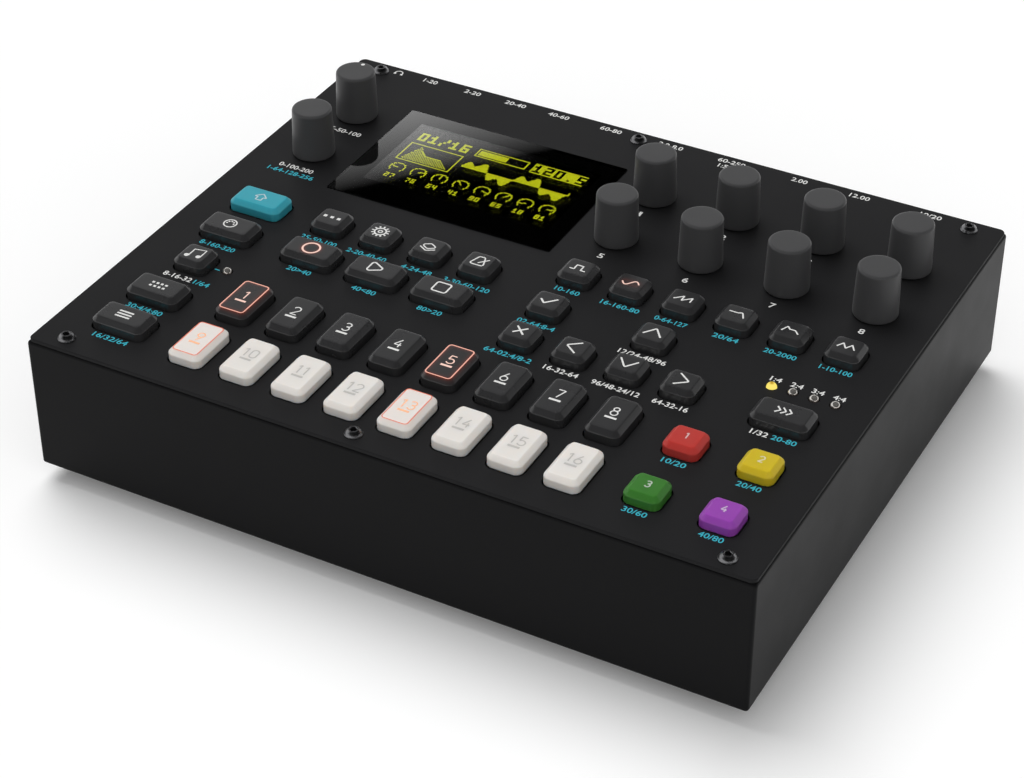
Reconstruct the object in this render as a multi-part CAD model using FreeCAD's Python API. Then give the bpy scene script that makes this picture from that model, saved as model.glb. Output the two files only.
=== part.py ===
import FreeCAD
import Part

import math
import os

from FreeCAD import Vector

# A desktop synthesizer with a folded steel case, a flat control panel, ten knobs,
# forty-five keys and a small graphic display. All lengths are in millimetres.
# X runs to the right, Y to the rear and Z up. The origin is on the surface that the
# feet stand on, under the middle of the whole outline.

# Case and panel
case_width = 215.0
case_depth = 176.6
body_height = 42.3  # underside of the case to the face of the panel
foot_height = 5.2
case_sheet = 1.5
panel_sheet = 1.0
case_corner_radius = 1.0
case_bend_radius = 0.9
end_lip_width = 7.8  # lip along the front and the rear, under the panel screws
side_lip_width = 4.2
panel_inset = 0.35  # edge of the panel inside the outline of the case
panel_corner_radius = 1.8
panel_edge_radius = 0.3

# Rubber feet
foot_radius = 6.5
foot_taper = 0.8
foot_inset_x = 15.5
foot_inset_y = 15.5

# Button-head screws, all of one size
screw_head_radius = 2.5
screw_head_height = 1.6
screw_head_rim = 0.3
screw_head_top_radius = 1.25
screw_socket_radius = 0.87
screw_socket_depth = 0.9
screw_shank_radius = 1.25
screw_length = 5.0
screw_thread_fit = 0.05
screw_hole_clearance = 0.2
panel_screw_inset_x = 9.9
panel_screw_inset_y = 5.1
press_nut_radius = 2.6
press_nut_height = 3.0

# Threaded bosses on the underside, for a standard display arm or stand plate
stand_hole_spacing = 100.0
stand_hole_radius = 2.0
stand_boss_radius = 4.0
stand_boss_height = 4.6

# Keys
key_short_side = 10.2
step_key_width = 10.3
step_key_depth = 16.7
wide_key_spacing = 4.5  # between neighbouring wide keys
key_corner_radius = 2.3
key_height = 3.6  # above the face of the panel
key_edge_chamfer = 1.35
key_wall = 1.1
key_roof = 1.2
key_gap = 0.5  # around the key in its cut-out
key_flange_width = 1.0
key_flange_thickness = 0.8
key_flange_play = 0.1
key_travel = 0.5
key_stem_side = 4.2
plunger_side = 2.6
plunger_fit = 0.15
plunger_depth = 0.8  # into the switch at rest
plunger_neck = 0.8  # bare plunger between the switch and the stem

# Columns of the controls. They lie between the left and the right column of keys, and
# each share tells how far a place is from the left one, or how wide a pitch is.
left_column_margin = 20.3  # side of the case to the middle of the column
right_column_margin = 16.85
step_key_column_share = 0.13438
step_key_pitch_share = 0.09053
menu_column_share = 0.1341
small_key_pitch_share = 0.08996
transport_column_share = 0.15238
transport_pitch_share = 0.11808
track_key_pitch_share = 0.11639
knob_pitch_share = 0.14788
window_column_share = 0.26736
middle_screw_column_share = 0.44813
left_knob_margin = 17.4
right_knob_margin = 17.7

# Rows of the controls. They lie between the front row of keys and the rear row of
# knobs, and each share tells how far a row is from the front one.
front_key_lip_gap = 0.55  # flange of the front row to the lip of the case
rear_knob_margin = 32.2  # rear of the case to the middle of the knobs
pattern_row_share = 0.12707
upper_key_row_share = 0.17759
note_row_share = 0.27151
lower_arrow_row_share = 0.34807
transport_row_share = 0.41042
lamp_row_share = 0.45146
upper_arrow_row_share = 0.47514
function_row_share = 0.5371
menu_row_share = 0.54065
parameter_row_share = 0.62036
lower_knob_row_share = 0.80189
window_row_share = 0.882

# Knobs on round spindles with a flat
knob_base_radius = 6.4
knob_top_radius = 5.95
knob_edge_radius = 0.8
knob_height = 15.5  # top of the knob above the face of the panel
knob_gap = 0.5
knob_recess_radius = 4.6
knob_recess_depth = 2.5
spindle_radius = 3.0
spindle_fit = 0.05
spindle_flat_depth = 1.5
spindle_in_knob = 11.0
spindle_in_body = 4.0
spindle_end_play = 0.2
knob_bore_play = 0.02

# Encoder and potentiometer bodies
encoder_side = 12.0
encoder_body_height = 6.2
bushing_radius = 3.5
bushing_setback = 0.2  # end of the bushing below the face of the panel
bushing_gap = 0.3

# Status lamps
lamp_radius = 1.45
lamp_collar_radius = 1.9
lamp_collar_height = 1.0
lamp_height = 1.15  # top of the dome above the face of the panel
lamp_gap = 0.2
page_lamp_pitch = 6.0
note_lamp_offset_x = 9.7  # from the middle of the note key
note_lamp_offset_y = 0.8

# Display window and the display behind it
window_width = 73.5
window_depth = 50.5
window_corner_radius = 0.6
window_proud = 0.3
window_gap = 0.15
window_rim_width = 2.5
window_rim_thickness = 0.8
display_glass_width = 64.0
display_glass_depth = 37.0
display_glass_thickness = 1.8
display_shift_y = 1.85  # middle of the display behind the middle of the window
display_gap = 0.2
holder_inset = 1.5
holder_wall = 1.4

# Boards
board_thickness = 1.6
control_board_drop = 8.6  # underside of the panel to the top of the board
control_board_side_gap = 2.5  # to the walls of the case
control_board_front_gap = 5.8
control_board_rear_gap = 11.8
control_standoff_edge = 0.5  # edge of the board to the side of its standoffs
main_board_side_gap = 7.0
main_board_front_gap = 52.6
main_board_rear_gap = 1.0
main_standoff_edge = 2.4
main_board_height = 6.3  # above the floor of the case
standoff_radius = 2.4
standoff_hole_depth = 4.4
switch_side = 6.0
switch_height = 3.5
switch_pocket_spare = 0.3

# Rear sockets. Their places and pitches along the rear wall are shares of the width of
# the case, from its middle, and their heights are above the main board.
first_jack_share = -0.44465
jack_pitch_share = 0.07
first_midi_share = -0.08186
midi_pitch_share = 0.09326
usb_share = 0.20651
dc_share = 0.29488
power_share = 0.39721
jack_count = 5
jack_spacing = 0.85  # between neighbouring bodies
jack_axis_height = 8.0
jack_body_height = 15.0
jack_body_depth = 27.0
jack_bore_radius = 3.25
jack_bore_depth = 30.0
jack_bushing_radius = 4.5
jack_nut_flats = 11.6
jack_nut_thickness = 2.0
jack_bushing_proud = 0.3
socket_wall_gap = 0.2
midi_count = 3
midi_spacing = 0.65
midi_axis_height = 10.0
midi_body_height = 19.6
midi_body_depth = 12.5
midi_collar_radius = 7.9
midi_bore_radius = 6.95
midi_bore_depth = 9.5
midi_core_radius = 6.0
midi_pin_radius = 0.8
midi_pin_circle_radius = 4.45
midi_pin_depth = 8.0
midi_pin_angle = 45.0  # between neighbouring pin holes
usb_width = 12.0
usb_height = 10.9
usb_depth = 16.2
usb_mouth_width = 8.6
usb_mouth_height = 7.9
usb_mouth_chamfer = 1.6
usb_mouth_depth = 9.0
usb_tongue_width = 5.6
usb_tongue_height = 3.2
usb_tongue_setback = 0.8
dc_width = 9.4
dc_height = 11.0
dc_depth = 13.5
dc_axis_height = 6.5
dc_collar_radius = 4.2
dc_bore_radius = 2.9
dc_bore_depth = 9.5
dc_pin_radius = 1.25
dc_pin_setback = 0.6

# Power switch and its button
power_axis_height = 7.0
power_body_side = 11.0
power_body_depth = 14.0
power_body_setback = 4.0
power_button_side = 7.8
power_button_radius = 1.6
power_button_proud = 2.4
power_button_gap = 0.3
power_button_travel = 2.0
power_neck_side = 4.4
power_neck_length = 6.0
power_neck_gap = 0.15

# Heights and places that follow from the sizes above
case_y = -power_button_proud / 2
front_y = case_y - case_depth / 2
rear_y = case_y + case_depth / 2
rear_inner_y = rear_y - case_sheet
floor_z = foot_height
floor_top_z = floor_z + case_sheet
panel_z = foot_height + body_height
panel_under_z = panel_z - panel_sheet
lip_under_z = panel_under_z - case_sheet
control_board_z = panel_under_z - control_board_drop
switch_top_z = control_board_z + switch_height
main_board_z = floor_top_z + main_board_height
main_board_top_z = main_board_z + board_thickness

# Columns and rows of the controls, measured from the middle of the panel
left_column_x = left_column_margin - case_width / 2
right_column_x = case_width / 2 - right_column_margin
column_span = right_column_x - left_column_x
first_step_key_x = left_column_x + step_key_column_share * column_span
step_key_pitch = step_key_pitch_share * column_span
first_menu_key_x = left_column_x + menu_column_share * column_span
small_key_pitch = small_key_pitch_share * column_span
first_transport_key_x = left_column_x + transport_column_share * column_span
transport_key_pitch = transport_pitch_share * column_span
wide_key_width = transport_key_pitch - wide_key_spacing
first_parameter_key_x = right_column_x - 5 * small_key_pitch
page_key_x = right_column_x - (wide_key_width - key_short_side) / 2
track_key_pitch = track_key_pitch_share * column_span
first_track_key_x = right_column_x - track_key_pitch
left_knob_x = left_knob_margin - case_width / 2
data_knob_pitch = knob_pitch_share * column_span
first_data_knob_x = case_width / 2 - right_knob_margin - 3 * data_knob_pitch
window_x = left_column_x + window_column_share * column_span
middle_screw_x = left_column_x + middle_screw_column_share * column_span
first_page_lamp_x = page_key_x - 1.5 * page_lamp_pitch
note_lamp_x = left_column_x + note_lamp_offset_x

front_key_margin = end_lip_width + front_key_lip_gap + key_flange_width + step_key_depth / 2
front_row_y = front_key_margin - case_depth / 2
rear_row_y = case_depth / 2 - rear_knob_margin
row_span = rear_row_y - front_row_y
pattern_key_y = front_row_y + pattern_row_share * row_span
upper_key_row_y = front_row_y + upper_key_row_share * row_span
note_key_y = front_row_y + note_row_share * row_span
lower_arrow_y = front_row_y + lower_arrow_row_share * row_span
transport_key_y = front_row_y + transport_row_share * row_span
page_lamp_y = front_row_y + lamp_row_share * row_span
upper_arrow_y = front_row_y + upper_arrow_row_share * row_span
function_key_y = front_row_y + function_row_share * row_span
menu_key_y = front_row_y + menu_row_share * row_span
parameter_key_y = front_row_y + parameter_row_share * row_span
lower_knob_y = front_row_y + lower_knob_row_share * row_span
window_y = front_row_y + window_row_share * row_span
note_lamp_y = note_key_y + note_lamp_offset_y

# Places and widths of the rear sockets, and sizes of the boards
first_jack_x = first_jack_share * case_width
jack_pitch = jack_pitch_share * case_width
jack_body_width = jack_pitch - jack_spacing
first_midi_x = first_midi_share * case_width
midi_pitch = midi_pitch_share * case_width
midi_body_width = midi_pitch - midi_spacing
usb_x = usb_share * case_width
dc_x = dc_share * case_width
power_x = power_share * case_width
control_board_width = case_width - 2 * (case_sheet + control_board_side_gap)
control_board_depth = (case_depth - 2 * case_sheet - control_board_front_gap
                       - control_board_rear_gap)
main_board_width = case_width - 2 * (case_sheet + main_board_side_gap)
main_board_depth = case_depth - 2 * case_sheet - main_board_front_gap - main_board_rear_gap


def rounded_rectangle(width, depth, radius, z):
    """Closed wire round the origin, with its corners rounded."""
    x = width / 2
    y = depth / 2
    r = radius
    h = r * (1 - math.sqrt(0.5))
    starts = [
        (Vector(x - r, -y, z), Vector(x - h, -y + h, z), Vector(x, -y + r, z)),
        (Vector(x, y - r, z), Vector(x - h, y - h, z), Vector(x - r, y, z)),
        (Vector(-x + r, y, z), Vector(-x + h, y - h, z), Vector(-x, y - r, z)),
        (Vector(-x, -y + r, z), Vector(-x + h, -y + h, z), Vector(-x + r, -y, z)),
    ]
    edges = []
    for i, (start, middle, end) in enumerate(starts):
        edges.append(Part.Arc(start, middle, end).toShape())
        edges.append(Part.LineSegment(end, starts[(i + 1) % 4][0]).toShape())
    return Part.Wire(edges)


def rounded_block(x, y, width, depth, radius, z_low, z_high):
    """Upright block with rounded vertical edges, centred on x, y."""
    wire = rounded_rectangle(width, depth, radius, z_low)
    block = Part.Face(wire).extrude(Vector(0, 0, z_high - z_low))
    block.translate(Vector(x, y, 0))
    return block


def block(x, y, width, depth, z_low, z_high):
    """Plain upright block centred on x, y."""
    corner = Vector(x - width / 2, y - depth / 2, z_low)
    return Part.makeBox(width, depth, z_high - z_low, corner)


def cylinder(x, y, radius, z_low, z_high):
    """Upright cylinder."""
    return Part.makeCylinder(radius, z_high - z_low, Vector(x, y, z_low))


def cylinder_along_y(x, z, radius, y_low, y_high):
    """Cylinder that lies along Y."""
    return Part.makeCylinder(radius, y_high - y_low, Vector(x, y_low, z), Vector(0, 1, 0))


def block_along_y(x, z, width, height, y_low, y_high):
    """Block centred on x, z between two values of y."""
    corner = Vector(x - width / 2, y_low, z - height / 2)
    return Part.makeBox(width, y_high - y_low, height, corner)


def hexagon_prism(centre, axis, flats, length):
    """Hexagonal prism from centre along axis, with the given size across its flats."""
    radius = flats / math.sqrt(3)
    corners = []
    for i in range(7):
        angle = math.radians(60 * i)
        corners.append(Vector(radius * math.cos(angle), radius * math.sin(angle), 0))
    prism = Part.Face(Part.makePolygon(corners)).extrude(Vector(0, 0, length))
    turn = FreeCAD.Rotation(Vector(0, 0, 1), axis)
    prism.Placement = FreeCAD.Placement(centre, turn)
    return prism


def edges_at_height(shape, z):
    """The level edges of a shape at the given height."""
    found = []
    for edge in shape.Edges:
        if abs(edge.BoundBox.ZMin - z) < 1e-6 and abs(edge.BoundBox.ZMax - z) < 1e-6:
            found.append(edge)
    return found


def panel_screw_places():
    """Places of the six screws that hold the panel."""
    x = case_width / 2 - panel_screw_inset_x
    y = case_depth / 2 - panel_screw_inset_y
    places = []
    for place_y in (case_y - y, case_y + y):
        for place_x in (-x, middle_screw_x, x):
            places.append((place_x, place_y))
    return places


def main_board_y():
    """Middle of the main board along Y, from its gap to the rear wall."""
    return rear_inner_y - main_board_rear_gap - main_board_depth / 2


def main_board_screw_places():
    """Places of the standoffs under the main board."""
    x = main_board_width / 2 - standoff_radius - main_standoff_edge
    y = main_board_depth / 2 - standoff_radius - main_standoff_edge
    front = main_board_y() - y
    rear = main_board_y() + y - jack_body_depth
    return [(-x, front), (0, front), (x, front), (-x, rear), (0, rear), (x, rear)]


def control_board_y():
    """Middle of the control board along Y."""
    return case_y + (control_board_front_gap - control_board_rear_gap) / 2


def control_board_screw_places():
    """Places of the standoffs at the side edges of the control board. The middle pair
    lies between the parameter keys and the front row of knobs."""
    x = control_board_width / 2 - standoff_radius - control_standoff_edge
    y = control_board_depth / 2 - standoff_radius - main_standoff_edge
    keys_end = parameter_key_y + key_short_side / 2 + key_flange_width
    knobs_start = lower_knob_y - encoder_side / 2
    middle = case_y + (keys_end + knobs_start) / 2
    places = []
    for side in (-1, 1):
        for place_y in (control_board_y() - y, middle, control_board_y() + y):
            places.append((side * x, place_y))
    return places


def step_keys():
    """Name and place of each of the sixteen step keys, in two rows of eight."""
    keys = []
    for row, row_y in enumerate((upper_key_row_y, front_row_y)):
        for column in range(8):
            name = "step_key_%d" % (8 * row + column + 1)
            place_x = first_step_key_x + column * step_key_pitch
            keys.append((name, place_x, row_y, step_key_width, step_key_depth))
    return keys


def track_keys():
    """Name and place of each of the four track keys, in two rows of two."""
    keys = []
    for row, row_y in enumerate((upper_key_row_y, front_row_y)):
        for column in range(2):
            name = "track_key_%d" % (2 * row + column + 1)
            place_x = first_track_key_x + column * track_key_pitch
            keys.append((name, place_x, row_y, key_short_side, key_short_side))
    return keys


def wide_keys():
    """Name and place of each wide key."""
    places = [
        ("function_key", left_column_x, function_key_y),
        ("midi_key", left_column_x, transport_key_y),
        ("pattern_key", left_column_x, pattern_key_y),
        ("bank_key", left_column_x, front_row_y),
        ("page_key", page_key_x, lower_arrow_y),
    ]
    for i, name in enumerate(("record_key", "play_key", "stop_key")):
        places.append((name, first_transport_key_x + i * transport_key_pitch, transport_key_y))
    return [(name, x, y, wide_key_width, key_short_side) for name, x, y in places]


def small_keys():
    """Name and place of each small key; keys with one name share a node."""
    places = [
        ("note_key", left_column_x, note_key_y),
        ("yes_key", first_parameter_key_x, upper_arrow_y),
        ("no_key", first_parameter_key_x, lower_arrow_y),
        ("arrow_keys", first_parameter_key_x + 2 * small_key_pitch, upper_arrow_y),
    ]
    for i in range(4):
        places.append(("menu_keys", first_menu_key_x + i * small_key_pitch, menu_key_y))
    for i in range(6):
        x = first_parameter_key_x + i * small_key_pitch
        places.append(("parameter_keys", x, parameter_key_y))
    for i in range(1, 4):
        places.append(("arrow_keys", first_parameter_key_x + i * small_key_pitch, lower_arrow_y))
    return [(name, x, y, key_short_side, key_short_side) for name, x, y in places]


def all_keys():
    """Every key as name, x, y, width and depth, with y in the part's own frame."""
    keys = step_keys() + track_keys() + wide_keys() + small_keys()
    return [(name, x, case_y + y, width, depth) for name, x, y, width, depth in keys]


def all_knobs():
    """Every knob as name, x and y."""
    knobs = [
        ("volume_knob", left_knob_x, case_y + rear_row_y),
        ("level_knob", left_knob_x, case_y + lower_knob_y),
    ]
    for row, row_y in enumerate((rear_row_y, lower_knob_y)):
        for column in range(4):
            name = "data_knob_%d" % (4 * row + column + 1)
            place_x = first_data_knob_x + column * data_knob_pitch
            knobs.append((name, place_x, case_y + row_y))
    return knobs


def lamp_places():
    """Places of the four page lamps and the lamp beside the note key."""
    places = [(note_lamp_x, case_y + note_lamp_y)]
    for i in range(4):
        places.append((first_page_lamp_x + i * page_lamp_pitch, case_y + page_lamp_y))
    return places


def jack_places():
    """Places of the jacks along X."""
    return [first_jack_x + i * jack_pitch for i in range(jack_count)]


def midi_places():
    """Places of the round five-pin sockets along X."""
    return [first_midi_x + i * midi_pitch for i in range(midi_count)]


def case_shell():
    """Folded tray: floor, four walls and an inward lip at the top."""
    outer = rounded_block(0, case_y, case_width, case_depth, case_corner_radius,
                          floor_z, panel_under_z)
    bends = edges_at_height(outer, floor_z) + edges_at_height(outer, panel_under_z)
    outer = outer.makeFillet(case_bend_radius, bends)
    inner = block(0, case_y, case_width - 2 * case_sheet, case_depth - 2 * case_sheet,
                  floor_top_z, lip_under_z)
    mouth = block(0, case_y, case_width - 2 * side_lip_width, case_depth - 2 * end_lip_width,
                  lip_under_z - case_sheet, panel_under_z + case_sheet)
    return outer.cut(inner).cut(mouth)


def case_bosses():
    """Press nuts under the lip, stand bosses and standoffs on the floor."""
    bosses = []
    for x, y in panel_screw_places():
        bosses.append(cylinder(x, y, press_nut_radius, lip_under_z - press_nut_height, lip_under_z))
    half = stand_hole_spacing / 2
    for x in (-half, half):
        for y in (case_y - half, case_y + half):
            bosses.append(cylinder(x, y, stand_boss_radius, floor_top_z,
                                   floor_top_z + stand_boss_height))
    for x, y in main_board_screw_places():
        bosses.append(cylinder(x, y, standoff_radius, floor_top_z, main_board_z))
    return bosses


def case_holes():
    """Screw holes, stand holes and the openings in the rear wall."""
    thread = screw_shank_radius + screw_thread_fit
    past = 2 * case_sheet
    holes = []
    for x, y in panel_screw_places():
        holes.append(cylinder(x, y, thread, lip_under_z - press_nut_height - past,
                              panel_under_z + past))
    half = stand_hole_spacing / 2
    for x in (-half, half):
        for y in (case_y - half, case_y + half):
            holes.append(cylinder(x, y, stand_hole_radius, floor_z - past,
                                  floor_top_z + stand_boss_height + past))
    for x, y in main_board_screw_places():
        holes.append(cylinder(x, y, thread, main_board_z - standoff_hole_depth,
                              main_board_z + past))
    y_low = rear_inner_y - past
    y_high = rear_y + past
    for x in jack_places():
        holes.append(cylinder_along_y(x, main_board_top_z + jack_axis_height,
                                      jack_bushing_radius + socket_wall_gap, y_low, y_high))
    for x in midi_places():
        holes.append(cylinder_along_y(x, main_board_top_z + midi_axis_height,
                                      midi_collar_radius + socket_wall_gap, y_low, y_high))
    holes.append(block_along_y(usb_x, main_board_top_z + usb_height / 2,
                               usb_width + 2 * socket_wall_gap,
                               usb_height + 2 * socket_wall_gap, y_low, y_high))
    holes.append(cylinder_along_y(dc_x, main_board_top_z + dc_axis_height,
                                  dc_collar_radius + socket_wall_gap, y_low, y_high))
    holes.append(power_prism(power_button_side + 2 * power_button_gap,
                             power_button_radius + power_button_gap, y_low, y_high))
    return holes


def case_tray():
    """The whole tray with its pressed-in bosses and its holes."""
    tray = case_shell().multiFuse(case_bosses())
    return tray.cut(Part.makeCompound(case_holes()))


def top_panel():
    """Flat control panel with its cut-outs and the standoffs of the control board."""
    panel = rounded_block(0, case_y, case_width - 2 * panel_inset, case_depth - 2 * panel_inset,
                          panel_corner_radius, panel_under_z, panel_z)
    panel = panel.makeFillet(panel_edge_radius, edges_at_height(panel, panel_z))
    low = panel_under_z - panel_sheet
    high = panel_z + panel_sheet
    holes = []
    for _, x, y, width, depth in all_keys():
        holes.append(rounded_block(x, y, width + 2 * key_gap, depth + 2 * key_gap,
                                   key_corner_radius + key_gap, low, high))
    for _, x, y in all_knobs():
        holes.append(cylinder(x, y, bushing_radius + bushing_gap, low, high))
    for x, y in lamp_places():
        holes.append(cylinder(x, y, lamp_radius + lamp_gap, low, high))
    for x, y in panel_screw_places():
        holes.append(cylinder(x, y, screw_shank_radius + screw_hole_clearance, low, high))
    holes.append(rounded_block(window_x, case_y + window_y, window_width + 2 * window_gap,
                               window_depth + 2 * window_gap, window_corner_radius, low, high))
    panel = panel.cut(Part.makeCompound(holes))
    standoffs = []
    sockets = []
    for x, y in control_board_screw_places():
        standoffs.append(cylinder(x, y, standoff_radius, control_board_z, panel_under_z))
        sockets.append(cylinder(x, y, screw_shank_radius + screw_thread_fit, control_board_z,
                                control_board_z + standoff_hole_depth))
    return panel.multiFuse(standoffs).cut(Part.makeCompound(sockets))


def screw(seat, axis):
    """Button-head screw whose head stands on seat and points along axis."""
    profile = [
        Vector(0, 0, -screw_length),
        Vector(screw_shank_radius, 0, -screw_length),
        Vector(screw_shank_radius, 0, 0),
        Vector(screw_head_radius, 0, 0),
        Vector(screw_head_radius, 0, screw_head_rim),
        Vector(screw_head_top_radius, 0, screw_head_height),
        Vector(0, 0, screw_head_height),
        Vector(0, 0, -screw_length),
    ]
    turned = Part.Face(Part.makePolygon(profile)).revolve(Vector(0, 0, 0), Vector(0, 0, 1), 360)
    socket = hexagon_prism(Vector(0, 0, screw_head_height - screw_socket_depth),
                           Vector(0, 0, 1), math.sqrt(3) * screw_socket_radius,
                           screw_socket_depth)
    whole = turned.cut(socket)
    whole.Placement = FreeCAD.Placement(seat, FreeCAD.Rotation(Vector(0, 0, 1), axis))
    return whole


def button_head_screws():
    """Screws of the panel, of the main board and of the control board."""
    up = Vector(0, 0, 1)
    screws = []
    for x, y in panel_screw_places():
        screws.append(screw(Vector(x, y, panel_z), up))
    for x, y in main_board_screw_places():
        screws.append(screw(Vector(x, y, main_board_top_z), up))
    for x, y in control_board_screw_places():
        screws.append(screw(Vector(x, y, control_board_z - board_thickness), Vector(0, 0, -1)))
    return Part.makeCompound(screws)


def rubber_feet():
    """Four tapered feet glued under the corners."""
    feet = []
    for side_x in (-1, 1):
        for side_y in (-1, 1):
            x = side_x * (case_width / 2 - foot_inset_x)
            y = case_y + side_y * (case_depth / 2 - foot_inset_y)
            feet.append(Part.makeCone(foot_radius - foot_taper, foot_radius, foot_height,
                                      Vector(x, y, 0)))
    return Part.makeCompound(feet)


def display_window():
    """Clear cover that fills the cut-out, with a rim glued behind the panel."""
    y = case_y + window_y
    pane = rounded_block(window_x, y, window_width, window_depth, window_corner_radius,
                         panel_under_z - window_rim_thickness, panel_z + window_proud)
    rim = block(window_x, y, window_width + 2 * window_rim_width,
                window_depth + 2 * window_rim_width,
                panel_under_z - window_rim_thickness, panel_under_z)
    return pane.fuse(rim)


def display_module():
    """Display glass and the holder that stands on the control board."""
    y = case_y + window_y + display_shift_y
    top = panel_under_z - window_rim_thickness - display_gap
    under = top - display_glass_thickness
    glass = block(window_x, y, display_glass_width, display_glass_depth, under, top)
    width = display_glass_width - 2 * holder_inset
    depth = display_glass_depth - 2 * holder_inset
    holder = block(window_x, y, width, depth, control_board_z, under)
    hollow = block(window_x, y, width - 2 * holder_wall, depth - 2 * holder_wall,
                   control_board_z, under)
    return Part.makeCompound([glass, holder.cut(hollow)])


def control_board():
    """Board under the panel that carries switches, encoders, lamps and the display."""
    return plain_board(control_board_y(), control_board_width, control_board_depth,
                       control_board_z - board_thickness, control_board_screw_places())


def main_board():
    """Board on the floor of the case that carries the rear sockets."""
    return plain_board(main_board_y(), main_board_width, main_board_depth,
                       main_board_z, main_board_screw_places())


def plain_board(y, width, depth, z, screw_places):
    """Flat circuit board with a hole for each of its screws."""
    board = block(0, y, width, depth, z, z + board_thickness)
    holes = []
    for x, hole_y in screw_places:
        holes.append(cylinder(x, hole_y, screw_shank_radius + screw_hole_clearance,
                              z - board_thickness, z + 2 * board_thickness))
    return board.cut(Part.makeCompound(holes))


def key_switch(x, y):
    """Push switch under a key, with a square pocket for its plunger."""
    side = plunger_side + 2 * plunger_fit
    pocket_floor = switch_top_z - plunger_depth - key_travel - switch_pocket_spare
    body = block(x, y, switch_side, switch_side, control_board_z, switch_top_z)
    return body.cut(block(x, y, side, side, pocket_floor, switch_top_z))


def push_switches():
    """Push switches under the keys, and the latching switch behind the power button."""
    switches = [key_switch(x, y) for _, x, y, _, _ in all_keys()]
    switches.append(power_switch())
    return Part.makeCompound(switches)


def key_cap(x, y, width, depth):
    """Hollow moulded cap with a bevelled top edge, a stop flange and a stem."""
    flange_top = panel_under_z - key_flange_play
    flange_low = flange_top - key_flange_thickness
    top = panel_z + key_height
    body = rounded_block(x, y, width, depth, key_corner_radius, flange_low, top)
    body = body.makeChamfer(key_edge_chamfer, edges_at_height(body, top))
    flange = block(x, y, width + 2 * key_flange_width, depth + 2 * key_flange_width,
                   flange_low, flange_top)
    hollow = block(x, y, width - 2 * key_wall, depth - 2 * key_wall, flange_low, top - key_roof)
    stem_low = switch_top_z + plunger_neck
    stem = block(x, y, key_stem_side, key_stem_side, stem_low, top - key_roof)
    return body.fuse(flange).cut(hollow).fuse(stem)


def key_plunger(x, y):
    """Square plunger of the switch, which travels with the cap."""
    return block(x, y, plunger_side, plunger_side, switch_top_z - plunger_depth,
                 switch_top_z + plunger_neck)


def keys_by_node():
    """Caps and plungers of the keys, gathered by the name of their node."""
    nodes = {}
    for name, x, y, width, depth in all_keys():
        pieces = nodes.setdefault(name, [])
        pieces.append(key_cap(x, y, width, depth))
        pieces.append(key_plunger(x, y))
    return {name: Part.makeCompound(pieces) for name, pieces in nodes.items()}


def spindle_flat(radius, spare, z_low, z_high):
    """Block beyond the flat of the spindle, on the side towards the front."""
    y_flat = -radius + spindle_flat_depth - spare
    return Part.makeBox(4 * radius, 2 * radius, z_high - z_low,
                        Vector(-2 * radius, y_flat - 2 * radius, z_low))


def spindle():
    """Round spindle about the origin, with a flat on the part inside the knob."""
    low = panel_z - bushing_setback - spindle_in_body
    flat_low = panel_z + knob_gap + knob_recess_depth
    top = flat_low + spindle_in_knob - knob_recess_depth
    rod = cylinder(0, 0, spindle_radius, low, top)
    return rod.cut(spindle_flat(spindle_radius, 0, flat_low, top))


def knob_cap():
    """Tapered knob about the origin, with a bore that fits the flat of the spindle."""
    low = panel_z + knob_gap
    top = panel_z + knob_height
    edge_low = top - knob_edge_radius
    edge_in = knob_top_radius - knob_edge_radius
    bulge = knob_edge_radius * math.sqrt(0.5)
    outline = [
        Part.LineSegment(Vector(0, 0, low), Vector(knob_base_radius, 0, low)),
        Part.LineSegment(Vector(knob_base_radius, 0, low), Vector(knob_top_radius, 0, edge_low)),
        Part.Arc(Vector(knob_top_radius, 0, edge_low),
                 Vector(edge_in + bulge, 0, edge_low + bulge), Vector(edge_in, 0, top)),
        Part.LineSegment(Vector(edge_in, 0, top), Vector(0, 0, top)),
        Part.LineSegment(Vector(0, 0, top), Vector(0, 0, low)),
    ]
    wire = Part.Wire([line.toShape() for line in outline])
    body = Part.Face(wire).revolve(Vector(0, 0, 0), Vector(0, 0, 1), 360)
    recess = cylinder(0, 0, knob_recess_radius, low, low + knob_recess_depth)
    bore_radius = spindle_radius + knob_bore_play
    bore_low = low + knob_recess_depth
    bore_top = low + spindle_in_knob + knob_bore_play
    bore = cylinder(0, 0, bore_radius, bore_low, bore_top)
    bore = bore.cut(spindle_flat(spindle_radius, knob_bore_play, bore_low, bore_top))
    return body.cut(recess).cut(bore)


def knob(x, y):
    """Knob and its spindle, which turn together."""
    pair = Part.makeCompound([knob_cap(), spindle()])
    pair.translate(Vector(x, y, 0))
    return pair


def rotary_encoders():
    """Encoder and potentiometer bodies, each with its threaded bushing."""
    body_top = control_board_z + encoder_body_height
    bushing_top = panel_z - bushing_setback
    bore_low = bushing_top - spindle_in_body - spindle_end_play
    bodies = []
    for _, x, y in all_knobs():
        body = block(x, y, encoder_side, encoder_side, control_board_z, body_top)
        bushing = cylinder(x, y, bushing_radius, body_top, bushing_top)
        bore = cylinder(x, y, spindle_radius + spindle_fit, bore_low, bushing_top)
        bodies.append(body.fuse(bushing).cut(bore))
    return Part.makeCompound(bodies)


def status_lamps():
    """Domed lamps that stand on the control board and show through the panel."""
    dome_z = panel_z + lamp_height - lamp_radius
    lamps = []
    for x, y in lamp_places():
        stalk = cylinder(x, y, lamp_radius, control_board_z, dome_z)
        collar = cylinder(x, y, lamp_collar_radius, control_board_z,
                          control_board_z + lamp_collar_height)
        dome = Part.makeSphere(lamp_radius, Vector(x, y, dome_z), Vector(0, 0, 1), 0, 90, 360)
        lamps.append(stalk.fuse(collar).fuse(dome))
    return Part.makeCompound(lamps)


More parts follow.
